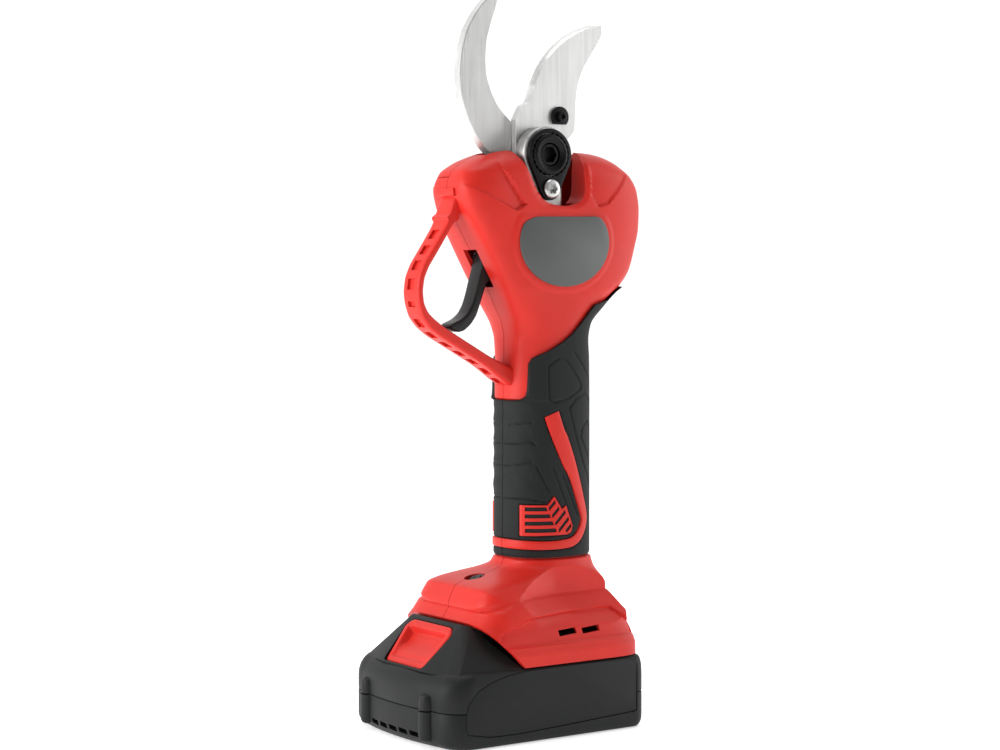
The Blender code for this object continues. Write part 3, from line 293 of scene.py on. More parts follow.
def housing_half(name, fine=0.6):
    """A closed half of the body: the outer skin from rear to front, then back along the
    seam plane, for every height, with the reliefs taken off its thickness."""
    heights = np.concatenate([
        np.arange(31.3, 48.0, fine), np.arange(48.0, 60.0, 0.4), np.arange(60.0, 72.3, fine),
        np.linspace(72.3, 139.4, 12), np.linspace(139.6, 158, 20),
        np.arange(158.5, 246.8, fine), [246.8],
    ])
    turn = np.linspace(0, 1, 150)
    angle = math.pi * (turn + 0.055 * np.sin(2 * math.pi * turn))
    t, z = np.meshgrid(angle, heights)
    x, y = body_point(t, z)
    x, y = body_point(t, z - ledge_rise(x, z))
    x, y = np.minimum(x, rear_limit(z)), np.maximum(y, -side_limit(x, z))
    weight = soft(9.0, 13.0, -y)
    y = y + weight * np.where(z > 180, cheek_relief(x, z), 0) * (z > 186)
    y = y + soft(24.0, 28.0, -y) * base_relief(x, z) * (z < 56)
    y = np.minimum(y, -SEAM)
    back = np.linspace(1, 0, 8)[1:-1]
    flat_x = x[:, -1:] + (x[:, :1] - x[:, -1:]) * (1 - back)
    grid = np.empty((len(heights), len(angle) + len(back), 3))
    grid[:, : len(angle), 0], grid[:, len(angle):, 0] = x, flat_x
    grid[:, : len(angle), 1], grid[:, len(angle):, 1] = y, -SEAM
    grid[..., 2] = heights[:, None]
    return surface(name, grid, around=True, ends=True)


def hollow():
    """The space inside a half: the same form drawn in by the wall, open at the seam and
    at the foot."""
    heights = np.array([20, 31, 37, 40.6, 44.5, 48, 52, 55, 56.6, 57.4, 59, 61, 63.4, 65.6, 68.4,
                        71.9, 139, 158, 172, 186, 196, 205, 214, 222, 230, 236, 240.5, 243.6])
    t, z = np.meshgrid(np.linspace(0, math.pi, 28), heights)
    x, y = body_point(t, np.maximum(z, 31.3), -SHELL_WALL)
    x = np.minimum(x, rear_limit(z) - SHELL_WALL)
    y = np.maximum(y, 2.1 * SHELL_WALL - side_limit(x, z))
    grid = np.stack([x, np.minimum(y, 0.4), z], -1)
    lid = grid[:, [-1, 0]] * np.array([1, 0, 1]) + np.array([0, 3.0, 0])
    return surface("hollow", np.concatenate([grid, lid], 1), around=True, ends=True)


def vent_slot(low, high, side):
    """One cooling slot, leaning with the side of the base."""
    outline = [(low, 41.8), (high, 42.4), (high, 44.8), (low, 44.2)]
    return extruded("slot", outline, *sorted((side * 28.0, side * 44.0)))


TRIGGER_SLOT = rounded([(-62, 188.2), (-22, 188.2), (-22, 204.0), (-62, 204.0)], 60, 3, True)
SLANT = [(-70, 69), (-51.3, 48.2), (-36.0, 31.0), (-36, 20), (-90, 20)]


def circle(radius, count=72):
    """Points round the origin."""
    return arc((0, 0), radius, 0, 360, count + 1)[:-1]


def on_slope(piece, at, degrees):
    """Moves a piece drawn flat at the origin onto a slope that faces forward and up."""
    co = np.empty(len(piece.data.vertices) * 3)
    piece.data.vertices.foreach_get("co", co)
    co = co.reshape(-1, 3)
    c, s = math.cos(math.radians(degrees)), math.sin(math.radians(degrees))
    turned = np.stack([co[:, 0] * c - co[:, 2] * s, co[:, 1], co[:, 0] * s + co[:, 2] * c], 1)
    turned += np.array([at[0], 0, at[1]]) * MM
    piece.data.vertices.foreach_set("co", turned.ravel())
    piece.data.update()
    return piece


BUTTON_AT, BUTTON_LEAN = (-34.8, 63.4), 25.5


def shader_node(made, kind, settings):
    """A new node of a material with its unlinked inputs set."""
    node = made.node_tree.nodes.new(kind)
    for socket, value in settings.items():
        node.inputs[socket].default_value = value
    return node


def connect(made, *pairs):
    """Links (node, output, node, input) rows."""
    for source, out, target, socket in pairs:
        made.node_tree.links.new(source.outputs[out], target.inputs[socket])


def new_material(name):
    """A node material, its main shader and its object coordinates."""
    made = bpy.data.materials.new(name)
    made.use_nodes = True
    return made, made.node_tree.nodes["Principled BSDF"], shader_node(made, "ShaderNodeTexCoord", {})


def textured_plastic(name, color, rough, grain=2600.0, depth=0.06):
    """Spark-eroded moulding: a fine grain in the surface, faint clouding of its colour,
    and slightly glossier high spots."""
    made, shader, place = new_material(name)
    fine = shader_node(made, "ShaderNodeTexNoise", {"Scale": grain, "Detail": 3.0})
    broad = shader_node(made, "ShaderNodeTexNoise", {"Scale": 45.0, "Detail": 4.0})
    tint = shader_node(made, "ShaderNodeMapRange", {
        "From Min": 0.3, "From Max": 0.7, "To Min": 0.93, "To Max": 1.05,
    })
    shade = shader_node(made, "ShaderNodeHueSaturation", {"Color": (*color, 1)})
    polish = shader_node(made, "ShaderNodeMapRange", {"To Min": rough - 0.07, "To Max": rough + 0.07})
    bump = shader_node(made, "ShaderNodeBump", {"Strength": 0.35, "Distance": depth * MM})
    connect(
        made,
        (place, "Object", fine, "Vector"),
        (place, "Object", broad, "Vector"),
        (broad, "Fac", tint, "Value"),
        (tint, "Result", shade, "Value"),
        (shade, "Color", shader, "Base Color"),
        (fine, "Fac", polish, "Value"),
        (polish, "Result", shader, "Roughness"),
        (fine, "Fac", bump, "Height"),
        (bump, "Normal", shader, "Normal"),
    )
    return made


red = textured_plastic("red_housing", (0.62, 0.022, 0.014), 0.42)
red.node_tree.nodes["Principled BSDF"].inputs["Specular IOR Level"].default_value = 0.25


def mirrored(piece, name):
    """The same piece on the other side of the middle plane."""
    other = bpy.data.objects.new(name, piece.data.copy())
    bpy.context.scene.collection.objects.link(other)
    shape = bmesh.new()
    shape.from_mesh(other.data)
    for vertex in shape.verts:
        vertex.co.y = -vertex.co.y
    bmesh.ops.reverse_faces(shape, faces=shape.faces)
    shape.to_mesh(other.data)
    shape.free()
    return other


shell_right = combined(housing_half("shell_right"), [hollow()])
across = np.gradient(NOTCH, axis=0)
across /= np.linalg.norm(across, axis=1)[:, None]
lining = NOTCH + np.stack([across[:, 1], -across[:, 0]], 1) * 1.7
liner = extruded("liner", lining, -17.4, -13.8)
rear_wall = extruded("rear_wall", [(7.0, 223.6), (12.4, 225.6), (12.4, 250), (7.0, 250)], -17.0, -7.4)
combined(liner, [rear_wall], "UNION")
combined(liner, [housing_half("form")], "INTERSECT")
combined(shell_right, [liner], "UNION")
combined(shell_right, [
    extruded("notch", NOTCH, -30, 30),
    extruded("blade_slot", [(-34, 233), (19, 233), (19, 262), (-34, 262)], -5.9, 5.0),
    extruded("trigger_slot", TRIGGER_SLOT, -5.0, 5.0),
    extruded("slant", SLANT, -50, 50),
    vent_slot(-15.2, -6.0, -1),
    vent_slot(-3.0, 6.2, -1),
    on_slope(extruded("button_hole", circle(4.4), -6, 6, "Z"), BUTTON_AT, BUTTON_LEAN),
])
shell_left = mirrored(shell_right, "shell_left")
parting = [(-60, 234.3), (-46.8, 234.3), (-46.8, 234.75), (-60, 234.75)]
combined(shell_left, [extruded("part_line", parting, -1, 13)])
for piece, node in ((shell_right, "housing_right"), (shell_left, "housing_left")):
    shaded(piece, red)
    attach(piece, "housing")
    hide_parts(node)


# ------------------------------------------------------------------ housing screws
# Five black thread-forming screws with six-lobed sockets, driven from the left cheek into
# bosses of the right half.


def turned_piece(name, profile, center, axis="Y", count=48, wobble=None):
    """A surface of revolution: (radius, height) rows turned round an axis. wobble is an
    optional function of (row, angle) that is added to the radius."""
    profile = np.asarray(profile, float)
    a = np.linspace(0, 2 * math.pi, count, endpoint=False)
    r = np.repeat(profile[:, :1], count, 1)
    if wobble is not None:
        r = r + wobble(np.arange(len(profile))[:, None], a[None, :])
    h = np.repeat(profile[:, 1:], count, 1)
    u, v = center[0] + r * np.cos(a), center[1] + r * np.sin(a)
    grid = {"Y": (u, h, v), "Z": (u, v, h), "X": (h, u, v)}[axis]
    return surface(name, np.stack(grid, -1), around=True)


def lobes(rows, depth, count=6):
    """Rounded lobes round a socket, on the rows given: depth times cosine of the angle."""
    return lambda row, a: np.where(np.isin(row, rows), depth * np.cos(count * a), 0.0)


def two_tone(made, color, low, high, dark, light):
    """A ramp from a darker to a lighter shade of one colour, between two places."""
    ramp = shader_node(made, "ShaderNodeValToRGB", {})
    for stop, place, share in zip(ramp.color_ramp.elements, (low, high), (dark, light)):
        stop.position = place
        stop.color = (*[min(1, c * share) for c in color], 1)
    return ramp


def dark_metal(name, color, rough, scale=900.0):
    """Blackened or plated steel: faint mottling of colour and gloss, and a fine bump."""
    made, shader, place = new_material(name)
    shader.inputs["Metallic"].default_value = 0.85
    noise = shader_node(made, "ShaderNodeTexNoise", {"Scale": scale, "Detail": 5.0})
    ramp = two_tone(made, color, 0.3, 0.75, 0.75, 1.3)
    polish = shader_node(made, "ShaderNodeMapRange", {"To Min": rough - 0.1, "To Max": rough + 0.1})
    bump = shader_node(made, "ShaderNodeBump", {"Strength": 0.15, "Distance": 0.03 * MM})
    connect(
        made,
        (place, "Object", noise, "Vector"),
        (noise, "Fac", ramp, "Fac"),
        (ramp, "Color", shader, "Base Color"),
        (noise, "Fac", polish, "Value"),
        (polish, "Result", shader, "Roughness"),
        (noise, "Fac", bump, "Height"),
        (bump, "Normal", shader, "Normal"),
    )
    return made


black_oxide = dark_metal("black_oxide", (0.03, 0.03, 0.032), 0.42)


def middle_of(node, axis):
    """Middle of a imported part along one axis, in millimetres."""
    low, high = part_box(node)
    return (low[axis] + high[axis]) / 2 / MM


for k in range(1, 6):
    node = f"housing_screw_{k}"
    low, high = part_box(node)
    x, z, tip, face = middle_of(node, 0), middle_of(node, 2), low.y / MM, high.y / MM
    face = min(face, float(side_limit(np.array(x), np.array(z))) - 1.6)
    thread = np.arange(tip + 1.0, face - 2.6, 0.55)
    pitch = np.stack([np.where(np.arange(len(thread)) % 2 == 0, 1.5, 1.1), thread], 1)
    rows = [(0, tip), (0.9, tip + 0.4), *pitch, (1.5, face - 2.0), (2.7, face - 2.0)]
    rows += [(2.7, face - 0.8), (2.5, face - 0.35), (2.0, face), (1.25, face), (1.15, face - 0.2)]
    rows += [(1.1, face - 1.1), (0, face - 1.2)]
    last = len(rows)
    screw = turned_piece(f"screw_{k}", rows, (x, z), "Y", 36, lobes([last - 4, last - 3, last - 2], 0.22))
    shaded(screw, black_oxide, 40)
    bore_rows = [(0, face - 1.9), (3.0, face - 1.9), (3.0, face + 20), (0, face + 20)]
    combined(shell_left, [
        turned_piece("bore", bore_rows, (x, z), "Y", 32),
    ])
    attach(screw, "housing")
    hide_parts(node)
shaded(shell_left, red)

# ------------------------------------------------------------------ rubber grip
# A soft black skin moulded over each half of the handle, with shallow sawn-looking
# grooves, and a lip where it meets the red plastic at a sweeping line.
GRIP_FOOT = 72.7
skin_angle = np.linspace(0.0, math.pi, 400)
skin_x, skin_y = body_point(skin_angle, np.full(400, 110.0), 1.6)
skin_run = np.concatenate([[0], np.cumsum(np.hypot(np.diff(skin_x), np.diff(skin_y)))])


def unrolled(points):
    """(degrees, height) corners as (distance round the grip, height), in millimetres."""
    points = np.asarray(points, float)
    run = np.interp(np.radians(points[:, 0]), skin_angle, skin_run)
    return np.stack([run, points[:, 1]], 1)


GROOVES = [
    [(170, 129.5), (150, 130.0), (134, 131.2)],
    [(178, 121.3), (150, 121.5), (134, 122.7), (128, 121.2)],
    [(178, 111.8), (152, 112.4), (132, 114.3)],
    [(178, 98.0), (137, 97.8), (114, 96.7)],
    [(107, 154.6), (106, 140.2), (103, 139.0), (88, 140.6), (70, 144.4), (68, 146.2), (80, 152.0),
     (90, 157.4), (94, 158.4), (100, 156.6), (107, 154.6)],
    [(80, 160.6), (68, 155.6), (47, 148.4), (33, 141.0)],
    [(42, 101.8), (64, 112.0), (76, 122.0), (83, 130.4), (87, 136.6), (79, 140.0), (61, 142.6),
     (46, 139.6), (32, 129.0), (26, 112.0)],
    [(43, 111.6), (58, 118.0), (69, 123.4), (67, 127.6), (53, 130.8), (40, 124.0), (36, 114.0)],
    [(126, 111.8), (110, 101.5)],
    [(104, 111.0), (90, 95.0)],
    [(93, 108.0), (76, 90.4)],
    [(38, 172.0), (30, 162.0), (16, 158.0), (0, 157.4)],
    [(20, 150.0), (8, 147.0), (0, 146.6)],
    [(24, 100.0), (12, 96.0), (0, 95.4)],
    [(30, 88.0), (14, 85.0), (0, 84.6)],
]
STRIPE_OUTER = [(97, 135.4), (94, 131.6), (88, 123.2), (78.5, 112.2), (67, 99.8), (57, 91.4),
                (55.5, 87.4), (62, 83.0), (72, 78.8), (84, 76.4),
                (100, 76.1), (128, 76.2), (154, 76.4), (180, 76.4)]
STRIPE_INNER = [(115, 132.8), (110, 127.6), (100, 119.4), (90.5, 110.6), (80, 99.2), (70, 90.2),
                (68, 88.0), (75, 83.6), (82, 81.0), (92, 79.9),
                (106, 79.7), (130, 79.9), (155, 80.2), (180, 80.3)]
GRILLE = [(151, 95.3), (151, 82.2), (89, 82.3), (84, 85.8), (90, 94.8), (93.5, 93.0),
          (103, 98.8), (111, 95.2)]


def groove_depth(t, z, line, depth, half_width):
    """A groove with a round bottom along a broken line: depth times a bell of the distance."""
    run = np.interp(t, skin_angle, skin_run)
    away = distance_to_line(run, z, unrolled(line))
    return depth * np.exp(-((away / half_width) ** 2) * 1.4)


def grip_skin(name):
    """The rubber: outside 1.6 mm proud of the shell and inside 0.3 mm, in one ring."""
    heights = np.concatenate([[GRIP_FOOT, GRIP_FOOT + 0.3], np.arange(73.4, 189.4, 0.5)])
    angle = np.linspace(0, math.pi, 190)
    t, z = np.meshgrid(angle, heights)
    sunk = np.zeros_like(t)
    for line in GROOVES:
        sunk = np.maximum(sunk, groove_depth(t, z, line, 0.55, 0.42))
    for line in (STRIPE_OUTER, STRIPE_INNER, [*GRILLE, GRILLE[0]]):
        sunk = np.maximum(sunk, groove_depth(t, z, line, 0.7, 0.5))
    panel = soft(133.0, 137.0, np.degrees(t)) * soft(98.0, 100.0, z) * (1 - soft(136.0, 138.5, z))
    swell = -0.18 * panel * np.cos((z - 103.0) / 9.2 * 2 * math.pi)
    lip = 0.35 * (1 - soft(0.0, 0.9, z - GRIP_FOOT))
    x, y = body_point(t, z, 1.6 - sunk - lip - swell)
    outer = np.stack([x, np.minimum(y, -SEAM - 0.02), z], -1)
    ix, iy = body_point(t, z, 0.3)
    inner = np.stack([ix, np.minimum(iy, -SEAM - 0.02), z], -1)[:, ::-6]
    return surface(name, np.concatenate([outer, inner], 1), around=True, ends=True)


RUBBER_EDGE = np.array([
    (46.0, 190.4), (37.0, 188.6), (33.6, 188.2), (31.2, 187.2), (29.0, 184.6), (25.0, 182.6), (20.0, 181.6),
    (15.8, 180.6), (13.0, 177.6), (8.4, 172.8), (3.0, 168.0), (-2.0, 164.6), (-8.0, 161.4), (-12.6, 159.4),
    (-15.2, 158.0), (-16.3, 155.6), (-16.5, 150.0), (-16.7, 144.6), (-17.2, 141.8), (-18.6, 140.4),
    (-20.6, 139.8), (-40.0, 139.6),
])
skin_right = grip_skin("skin_right")
combined(skin_right, [extruded("above", [*RUBBER_EDGE, (-40, 230), (46, 230)], -40, 5)])
rubber = textured_plastic("grip_rubber", (0.0125, 0.014, 0.014), 0.66, 2000.0, 0.10)
rubber.node_tree.nodes["Principled BSDF"].inputs["Specular IOR Level"].default_value = 0.18
skin_left = mirrored(skin_right, "skin_left")
for piece, node in ((skin_right, "grip_rubber_right"), (skin_left, "grip_rubber_left")):
    shaded(piece, rubber, 50)
    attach(piece, "housing")
    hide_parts(node)

# ------------------------------------------------------------------ red stripe and grille
# Parts of the red shell that stand through windows in the rubber: a tapering stripe that
# turns round the foot of the grip, and a small grille with straight and slanting slots.


def matched(line, count):
    """The line's corners spread evenly over count points, so two edges stay in step."""
    line = np.asarray(line, float)
    at = np.linspace(0, len(line) - 1, count)
    dense = np.stack([np.interp(at, np.arange(len(line)), line[:, k]) for k in (0, 1)], 1)
    for _ in range(40):
        dense[1:-1] = (dense[:-2] + 2 * dense[1:-1] + dense[2:]) / 4
    return dense


def stripe(name):
    """A band on the grip between two edge lines: across it the height rises quickly from
    below the rubber to a flat top."""
    a, b = matched(STRIPE_OUTER, 150), matched(STRIPE_INNER, 150)
    share = np.array([0.0, 0.0, 0.03, 0.10, 0.35, 0.65, 0.90, 0.97, 1.0, 1.0])
    grow = np.array([0.8, 1.55, 1.85, 1.98, 2.0, 2.0, 1.98, 1.85, 1.55, 0.8])
    t = np.radians(a[:, :1] + (b[:, :1] - a[:, :1]) * share)
    z = a[:, 1:] + (b[:, 1:] - a[:, 1:]) * share
    x, y = body_point(t, z, np.broadcast_to(grow, t.shape))
    grid = np.stack([x, np.minimum(y, -SEAM), z], -1)
    return surface(name, grid, around=True, ends=True)


def grip_band(name, low, high, inner, outer):
    """A plain band of the grip's form between two heights."""
    heights = np.linspace(low, high, 12)
    t, z = np.meshgrid(np.linspace(0.02, math.pi - 0.02, 120), heights)
    ox, oy = body_point(t, z, outer)
    ix, iy = body_point(t, z, inner)
    grid = np.concatenate([np.stack([ox, oy, z], -1), np.stack([ix, iy, z], -1)[:, ::-1]], 1)
    return surface(name, grid, around=True, ends=True)


grille_plan = [(-18.6, 95.3), (-18.6, 82.2), (0.2, 82.3), (2.2, 83.2), (3.2, 85.8), (-0.4, 94.8),
               (-2.4, 93.0), (-6.2, 98.8), (-9.1, 95.2)]
grille_right = grip_band("grille_right", 81, 100, 0.8, 1.95)
combined(grille_right, [extruded("plan", grille_plan, -30, -3)], "INTERSECT")
windows = []
for k, (end, z) in enumerate(((-9.6, 93.6), (-8.2, 90.6), (-6.8, 87.5), (-5.4, 84.4))):
    windows.append([(-17.7, z - 0.85), (end + 0.5, z - 0.85), (end - 0.3, z + 0.85), (-17.7, z + 0.85)])
for (ax, az), (bx, bz) in (((-8.6, 93.5), (-6.0, 96.9)), ((-7.1, 90.3), (-4.2, 94.0)),
                           ((-5.6, 87.0), (-1.0, 92.4)), ((-3.9, 84.0), (0.8, 89.4)),
                           ((-0.2, 83.6), (2.2, 86.4))):
    windows.append([(ax, az - 0.7), (bx + 0.5, bz - 0.9), (bx, bz + 0.7), (ax - 0.5, az + 0.7)])
combined(grille_right, [extruded("window", w, -30, -3) for w in windows])
stripe_right = stripe("stripe_right")
for right, name in ((stripe_right, "stripe_left"), (grille_right, "grille_left")):
    for piece in (right, mirrored(right, name)):
        shaded(piece, red, 40)
        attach(piece, "housing")

# ------------------------------------------------------------------ badge plates
# A thin dark grey plate let into each cheek, straight on top and deeply bowed below, with
# a rolled edge. Its face is left blank.


def inward(outline, distance):
    """A closed outline moved in along its own normals."""
    ahead, behind = np.roll(outline, -1, 0), np.roll(outline, 1, 0)
    run = ahead - behind
    run /= np.linalg.norm(run, axis=1)[:, None]
    area = np.sum(outline[:, 0] * ahead[:, 1] - ahead[:, 0] * outline[:, 1])
    normal = np.stack([-run[:, 1], run[:, 0]], 1) * (1 if area > 0 else -1)
    return outline + normal * distance


def slab(name, outline, low, high, round_low, round_high, axis="Y", steps=4):
    """A flat piece with rounded rims: the outline drawn in along a quarter circle at
    each face that has a rounding."""
    outline = np.asarray(outline, float)
    t = np.linspace(0, math.pi / 2, steps)
    rows = []
    if round_low:
        rows = [(round_low * (1 - math.sin(q)), low + round_low * (1 - math.cos(q))) for q in t]
    else:
        rows += [(0.0, low)]
    if round_high:
        rows += [(round_high * (1 - math.cos(q)), high - round_high * (1 - math.sin(q))) for q in t]
    else:
        rows += [(0.0, high)]
    order = {"Y": (0, 2, 1), "Z": (0, 1, 2), "X": (1, 2, 0)}[axis]
    grid = np.empty((len(rows), len(outline), 3))
    for k, (draw, height) in enumerate(rows):
        moved = inward(outline, draw)
        grid[k, :, order[0]], grid[k, :, order[1]], grid[k, :, order[2]] = moved[:, 0], moved[:, 1], height
    return surface(name, grid, around=True, ends=True)


angles = np.radians(np.linspace(155, 385, 60))
bow = np.stack([-1.6 + 23.4 * np.cos(angles), 207.5 + 19.1 * np.sin(angles)], 1)
badge_plan = rounded([(16.6, 218.6), (-17.2, 218.0), *bow], 220, 10, True)
badge_grey = textured_plastic("badge_grey", (0.075, 0.082, 0.078), 0.34, 1500.0, 0.01)
for name, node, side in (("plate_right", "badge_right", -1), ("plate_left", "badge_left", 1)):
    if side < 0:
        plate = slab(name, badge_plan, -19.55, -18.3, 0.35, 0)
    else:
        plate = slab(name, badge_plan, 18.3, 19.55, 0, 0.35)
    shaded(plate, badge_grey, 50)
    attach(plate, "housing")
    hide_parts(node)

# ------------------------------------------------------------------ trigger guard
# A red bow from the front of the head to the top of the handle, moulded with a row of
# rectangular pockets along its outer face to keep its wall even.
GUARD_LINE = [
    (-42.0, 228.4), (-46.2, 223.8), (-49.4, 218.4), (-52.5, 212.8), (-57.2, 205.7), (-63.0, 197.3),
    (-65.3, 192.2), (-66.1, 186.5), (-65.5, 181.4), (-63.4, 176.5), (-59.8, 172.9), (-55.1, 169.6),
    (-42.2, 162.5), (-28.9, 155.1), (-19.6, 149.9), (-13.0, 146.2),
]


def swept(name, line, across, wide):
    """A rounded bar along a line in the middle plane; across and wide are its sizes in
    the plane and along Y at each point."""
    heading = np.gradient(line, axis=0)
    heading /= np.linalg.norm(heading, axis=1)[:, None]
    normal = np.stack([-heading[:, 1], heading[:, 0]], 1)
    a = np.radians(np.arange(0, 360, 7.5) + 3.75)
    c, s = np.cos(a), np.sin(a)
    u = np.sign(c) * np.abs(c) ** 0.4
    v = np.sign(s) * np.abs(s) ** 0.4
    grid = np.empty((len(line), len(a), 3))
    grid[..., 0] = line[:, :1] + normal[:, :1] * across[:, None] / 2 * u
    grid[..., 2] = line[:, 1:] + normal[:, 1:] * across[:, None] / 2 * u
    grid[..., 1] = wide[:, None] / 2 * v
    return surface(name, grid, around=True, ends=True)


bow_line = rounded(GUARD_LINE, 240, 10)
height = bow_line[:, 1]
root = soft(212.0, 228.0, height)
thick = 3.0 + 1.9 * (1 - soft(171.0, 182.0, height)) + 5.0 * root + 2.6 * (1 - soft(150.0, 158.0, height))
guard = swept("guard", bow_line, thick, 12.2 + 0.2 * root)
along = np.concatenate([[0], np.cumsum(np.hypot(*np.diff(bow_line, axis=0).T))])
pockets = []
for k in range(12):
    i = int(np.searchsorted(along, 22.6 + 7.75 * k))
    heading = bow_line[i + 1] - bow_line[i - 1]
    heading /= np.linalg.norm(heading)
    out = np.array([heading[1], -heading[0]])
    middle = bow_line[i] + out * thick[i] / 2
    half = 2.35 if k != 4 else 1.2
    reach = ((-half, -1.15), (half, -1.15), (half, 3), (-half, 3))
    corners = [middle + heading * a + out * b for a, b in reach]
    pockets.append(extruded("pocket", corners, -2.6, 2.6))
combined(guard, pockets)
upper_bump = rounded([(-50.3, 229.8), (-44, 230.2), (-44, 226), (-50.0, 226.4)], 40, 3, True)
lower_bump = rounded([(-53.3, 217.4), (-47, 222.0), (-47, 216.4), (-51.6, 214.8)], 40, 4, True)
combined(guard, [extruded("bump", plan, -6.1, 6.1) for plan in (upper_bump, lower_bump)], "UNION")
shaded(guard, red, 40)
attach(guard, "housing")
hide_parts("trigger_guard")

# ------------------------------------------------------------------ trigger
# A smooth black nylon lever, curved forward at its tip for the fingertip, on a pin
# through the head. Its sides are flat and its edges are well rounded.
trigger_plan = rounded([
    (-31.8, 204.4), (-32.9, 201.2), (-34.0, 197.6), (-35.8, 191.8), (-37.5, 185.7), (-39.2, 180.8),
    (-41.4, 177.2), (-44.6, 174.7), (-48.2, 173.3), (-50.2, 172.4), (-50.2, 171.2), (-48.8, 170.4),
    (-46.2, 169.2), (-43.2, 169.8), (-39.6, 172.6), (-37.0, 176.1), (-35.1, 180.8), (-33.8, 184.4),
    (-31.8, 189.6), (-28.0, 193.5), (-25.7, 197.0), (-25.7, 201.0), (-27.8, 204.4),
], 200, 8, True)
trigger = slab("finger_lever", trigger_plan, -4.4, 4.4, 0.95, 0.95, steps=6)
lever_black = textured_plastic("lever_black", (0.012, 0.013, 0.013), 0.36, 2200.0, 0.03)
lever_black.node_tree.nodes["Principled BSDF"].inputs["Specular IOR Level"].default_value = 0.25
shaded(trigger, lever_black, 60)
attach(trigger, "trigger")
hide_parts("trigger")

# ------------------------------------------------------------------ blades
# Two blades of ground tool steel. The hooked one is thick and blunt and is screwed to the
# casting; the thinner one is hollow-ground along its curved edge and turns on the bolt.


def brushed(name, color, rough, lean):
    """Ground steel: long fine scratches along one direction, from noise stretched fifty
    times, in its colour, gloss and bump."""
    made, shader, place = new_material(name)
    shader.inputs["Metallic"].default_value = 0.75
    shader.inputs["Anisotropic"].default_value = 0.4
    turn = shader_node(made, "ShaderNodeMapping", {
        "Rotation": (0, math.radians(lean), 0), "Scale": (1500, 1500, 30),
    })
    noise = shader_node(made, "ShaderNodeTexNoise", {"Scale": 1.0, "Detail": 6.0, "Roughness": 0.65})
    broad = shader_node(made, "ShaderNodeTexNoise", {"Scale": 60.0})
    mixed = shader_node(made, "ShaderNodeMix", {"Factor": 0.35})
    mixed.data_type = "FLOAT"
    ramp = two_tone(made, color, 0.3, 0.7, 0.84, 1.08)
    polish = shader_node(made, "ShaderNodeMapRange", {
        "From Min": 0.3, "From Max": 0.7, "To Min": rough - 0.08, "To Max": rough + 0.1,
    })
    bump = shader_node(made, "ShaderNodeBump", {"Strength": 0.12, "Distance": 0.03 * MM})
    connect(
        made,
        (place, "Object", turn, "Vector"),
        (turn, "Vector", noise, "Vector"),
        (place, "Object", broad, "Vector"),
        (noise, "Fac", mixed, 2),
        (broad, "Fac", mixed, 3),
        (mixed, 0, ramp, "Fac"),
        (ramp, "Color", shader, "Base Color"),
        (noise, "Fac", polish, "Value"),
        (polish, "Result", shader, "Roughness"),
        (noise, "Fac", bump, "Height"),
        (bump, "Normal", shader, "Normal"),
    )
    return made


PIVOT = (-7.0, 244.5)
HOOK_BACK = [(-27.6, 244.0), (-31.4, 247.0), (-35.4, 251.6), (-39.6, 258.6), (-42.8, 267.0), (-44.0, 277.5),
             (-42.8, 288.0), (-40.2, 296.6), (-36.2, 303.4), (-31.7, 308.8), (-28.0, 312.0), (-25.6, 312.9)]
HOOK_FRONT = [(-24.4, 312.4), (-25.4, 307.4), (-28.0, 300.6), (-30.4, 292.5), (-31.0, 284.6), (-30.4, 277.8),
              (-28.2, 271.4), (-24.9, 265.6), (-20.6, 261.2), (-14.0, 256.0)]
EDGE = [(27.6, 302.4), (21.8, 302.0), (14.9, 299.6), (8.4, 296.2), (2.9, 292.0), (-1.8, 287.2),
        (-5.8, 281.6), (-8.9, 275.2), (-10.9, 268.8), (-11.6, 266.9), (-14.9, 266.0), (-18.2, 259.6)]
BACK = [(8.6, 251.6), (13.0, 255.6), (13.3, 262.0), (13.5, 268.0), (14.2, 274.0), (15.6, 279.0),
        (18.0, 284.0), (22.0, 289.6), (26.6, 296.0), (27.5, 298.6)]


def offset_side(line, toward, distance):
    """One edge of a blade moved towards the opposite edge, by a distance that may vary."""
    run = np.gradient(line, axis=0)
    run /= np.linalg.norm(run, axis=1)[:, None]
    normal = np.stack([-run[:, 1], run[:, 0]], 1)
    facing = np.sign(np.sum(normal * (toward - line), axis=1))[:, None]
    return line + normal * facing * np.reshape(distance, (-1, 1))


def blade(name, rows, holes):
    """A flat blade from outlines at several depths, with round holes through it."""
    grid = np.stack([np.stack([o[:, 0], np.full(len(o), y), o[:, 1]], 1) for o, y in rows])
    made = surface(name, grid, around=True, ends=True)
    return combined(made, [
        turned_piece("hole", [(0, -30), (r, -30), (r, 30), (0, 30)], at, "Y", 48) for at, r in holes
    ])


back = rounded(HOOK_BACK, 90)
front = rounded(HOOK_FRONT, 80)
hub = arc(PIVOT, 10.8, 98, -118, 40)
tail = np.array([(-14.5, 233.0), (-14.5, 221.7), (-30.8, 221.7), (-30.8, 238.0)])
whole = np.concatenate([back, front, hub, tail])
taper = np.interp(np.linspace(0, 1, 80), [0, 0.1, 0.8, 1.0], [0.6, 1.4, 1.2, 0.0])
eased = offset_side(back, np.array([-12.0, 280.0]), 0.35)
ground, near = (
    np.concatenate([eased, offset_side(front, np.array([-60.0, 285.0]), depth), hub, tail])
    for depth in (taper, 0.15)
)
TAIL_SCREWS = [(-27.0, 228.5), (-19.0, 225.5)]
hook = blade("hook_blade", [(near, -1.9), (whole, -1.6), (whole, 0.6), (whole, 2.6), (ground, 3.0)],
             [(PIVOT, 7.4), (TAIL_SCREWS[0], 1.9), (TAIL_SCREWS[1], 1.9)])
steel = brushed("ground_steel", (0.66, 0.66, 0.65), 0.34, 8)
shaded(hook, steel, 25)
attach(hook, "housing")
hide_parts("fixed_blade")

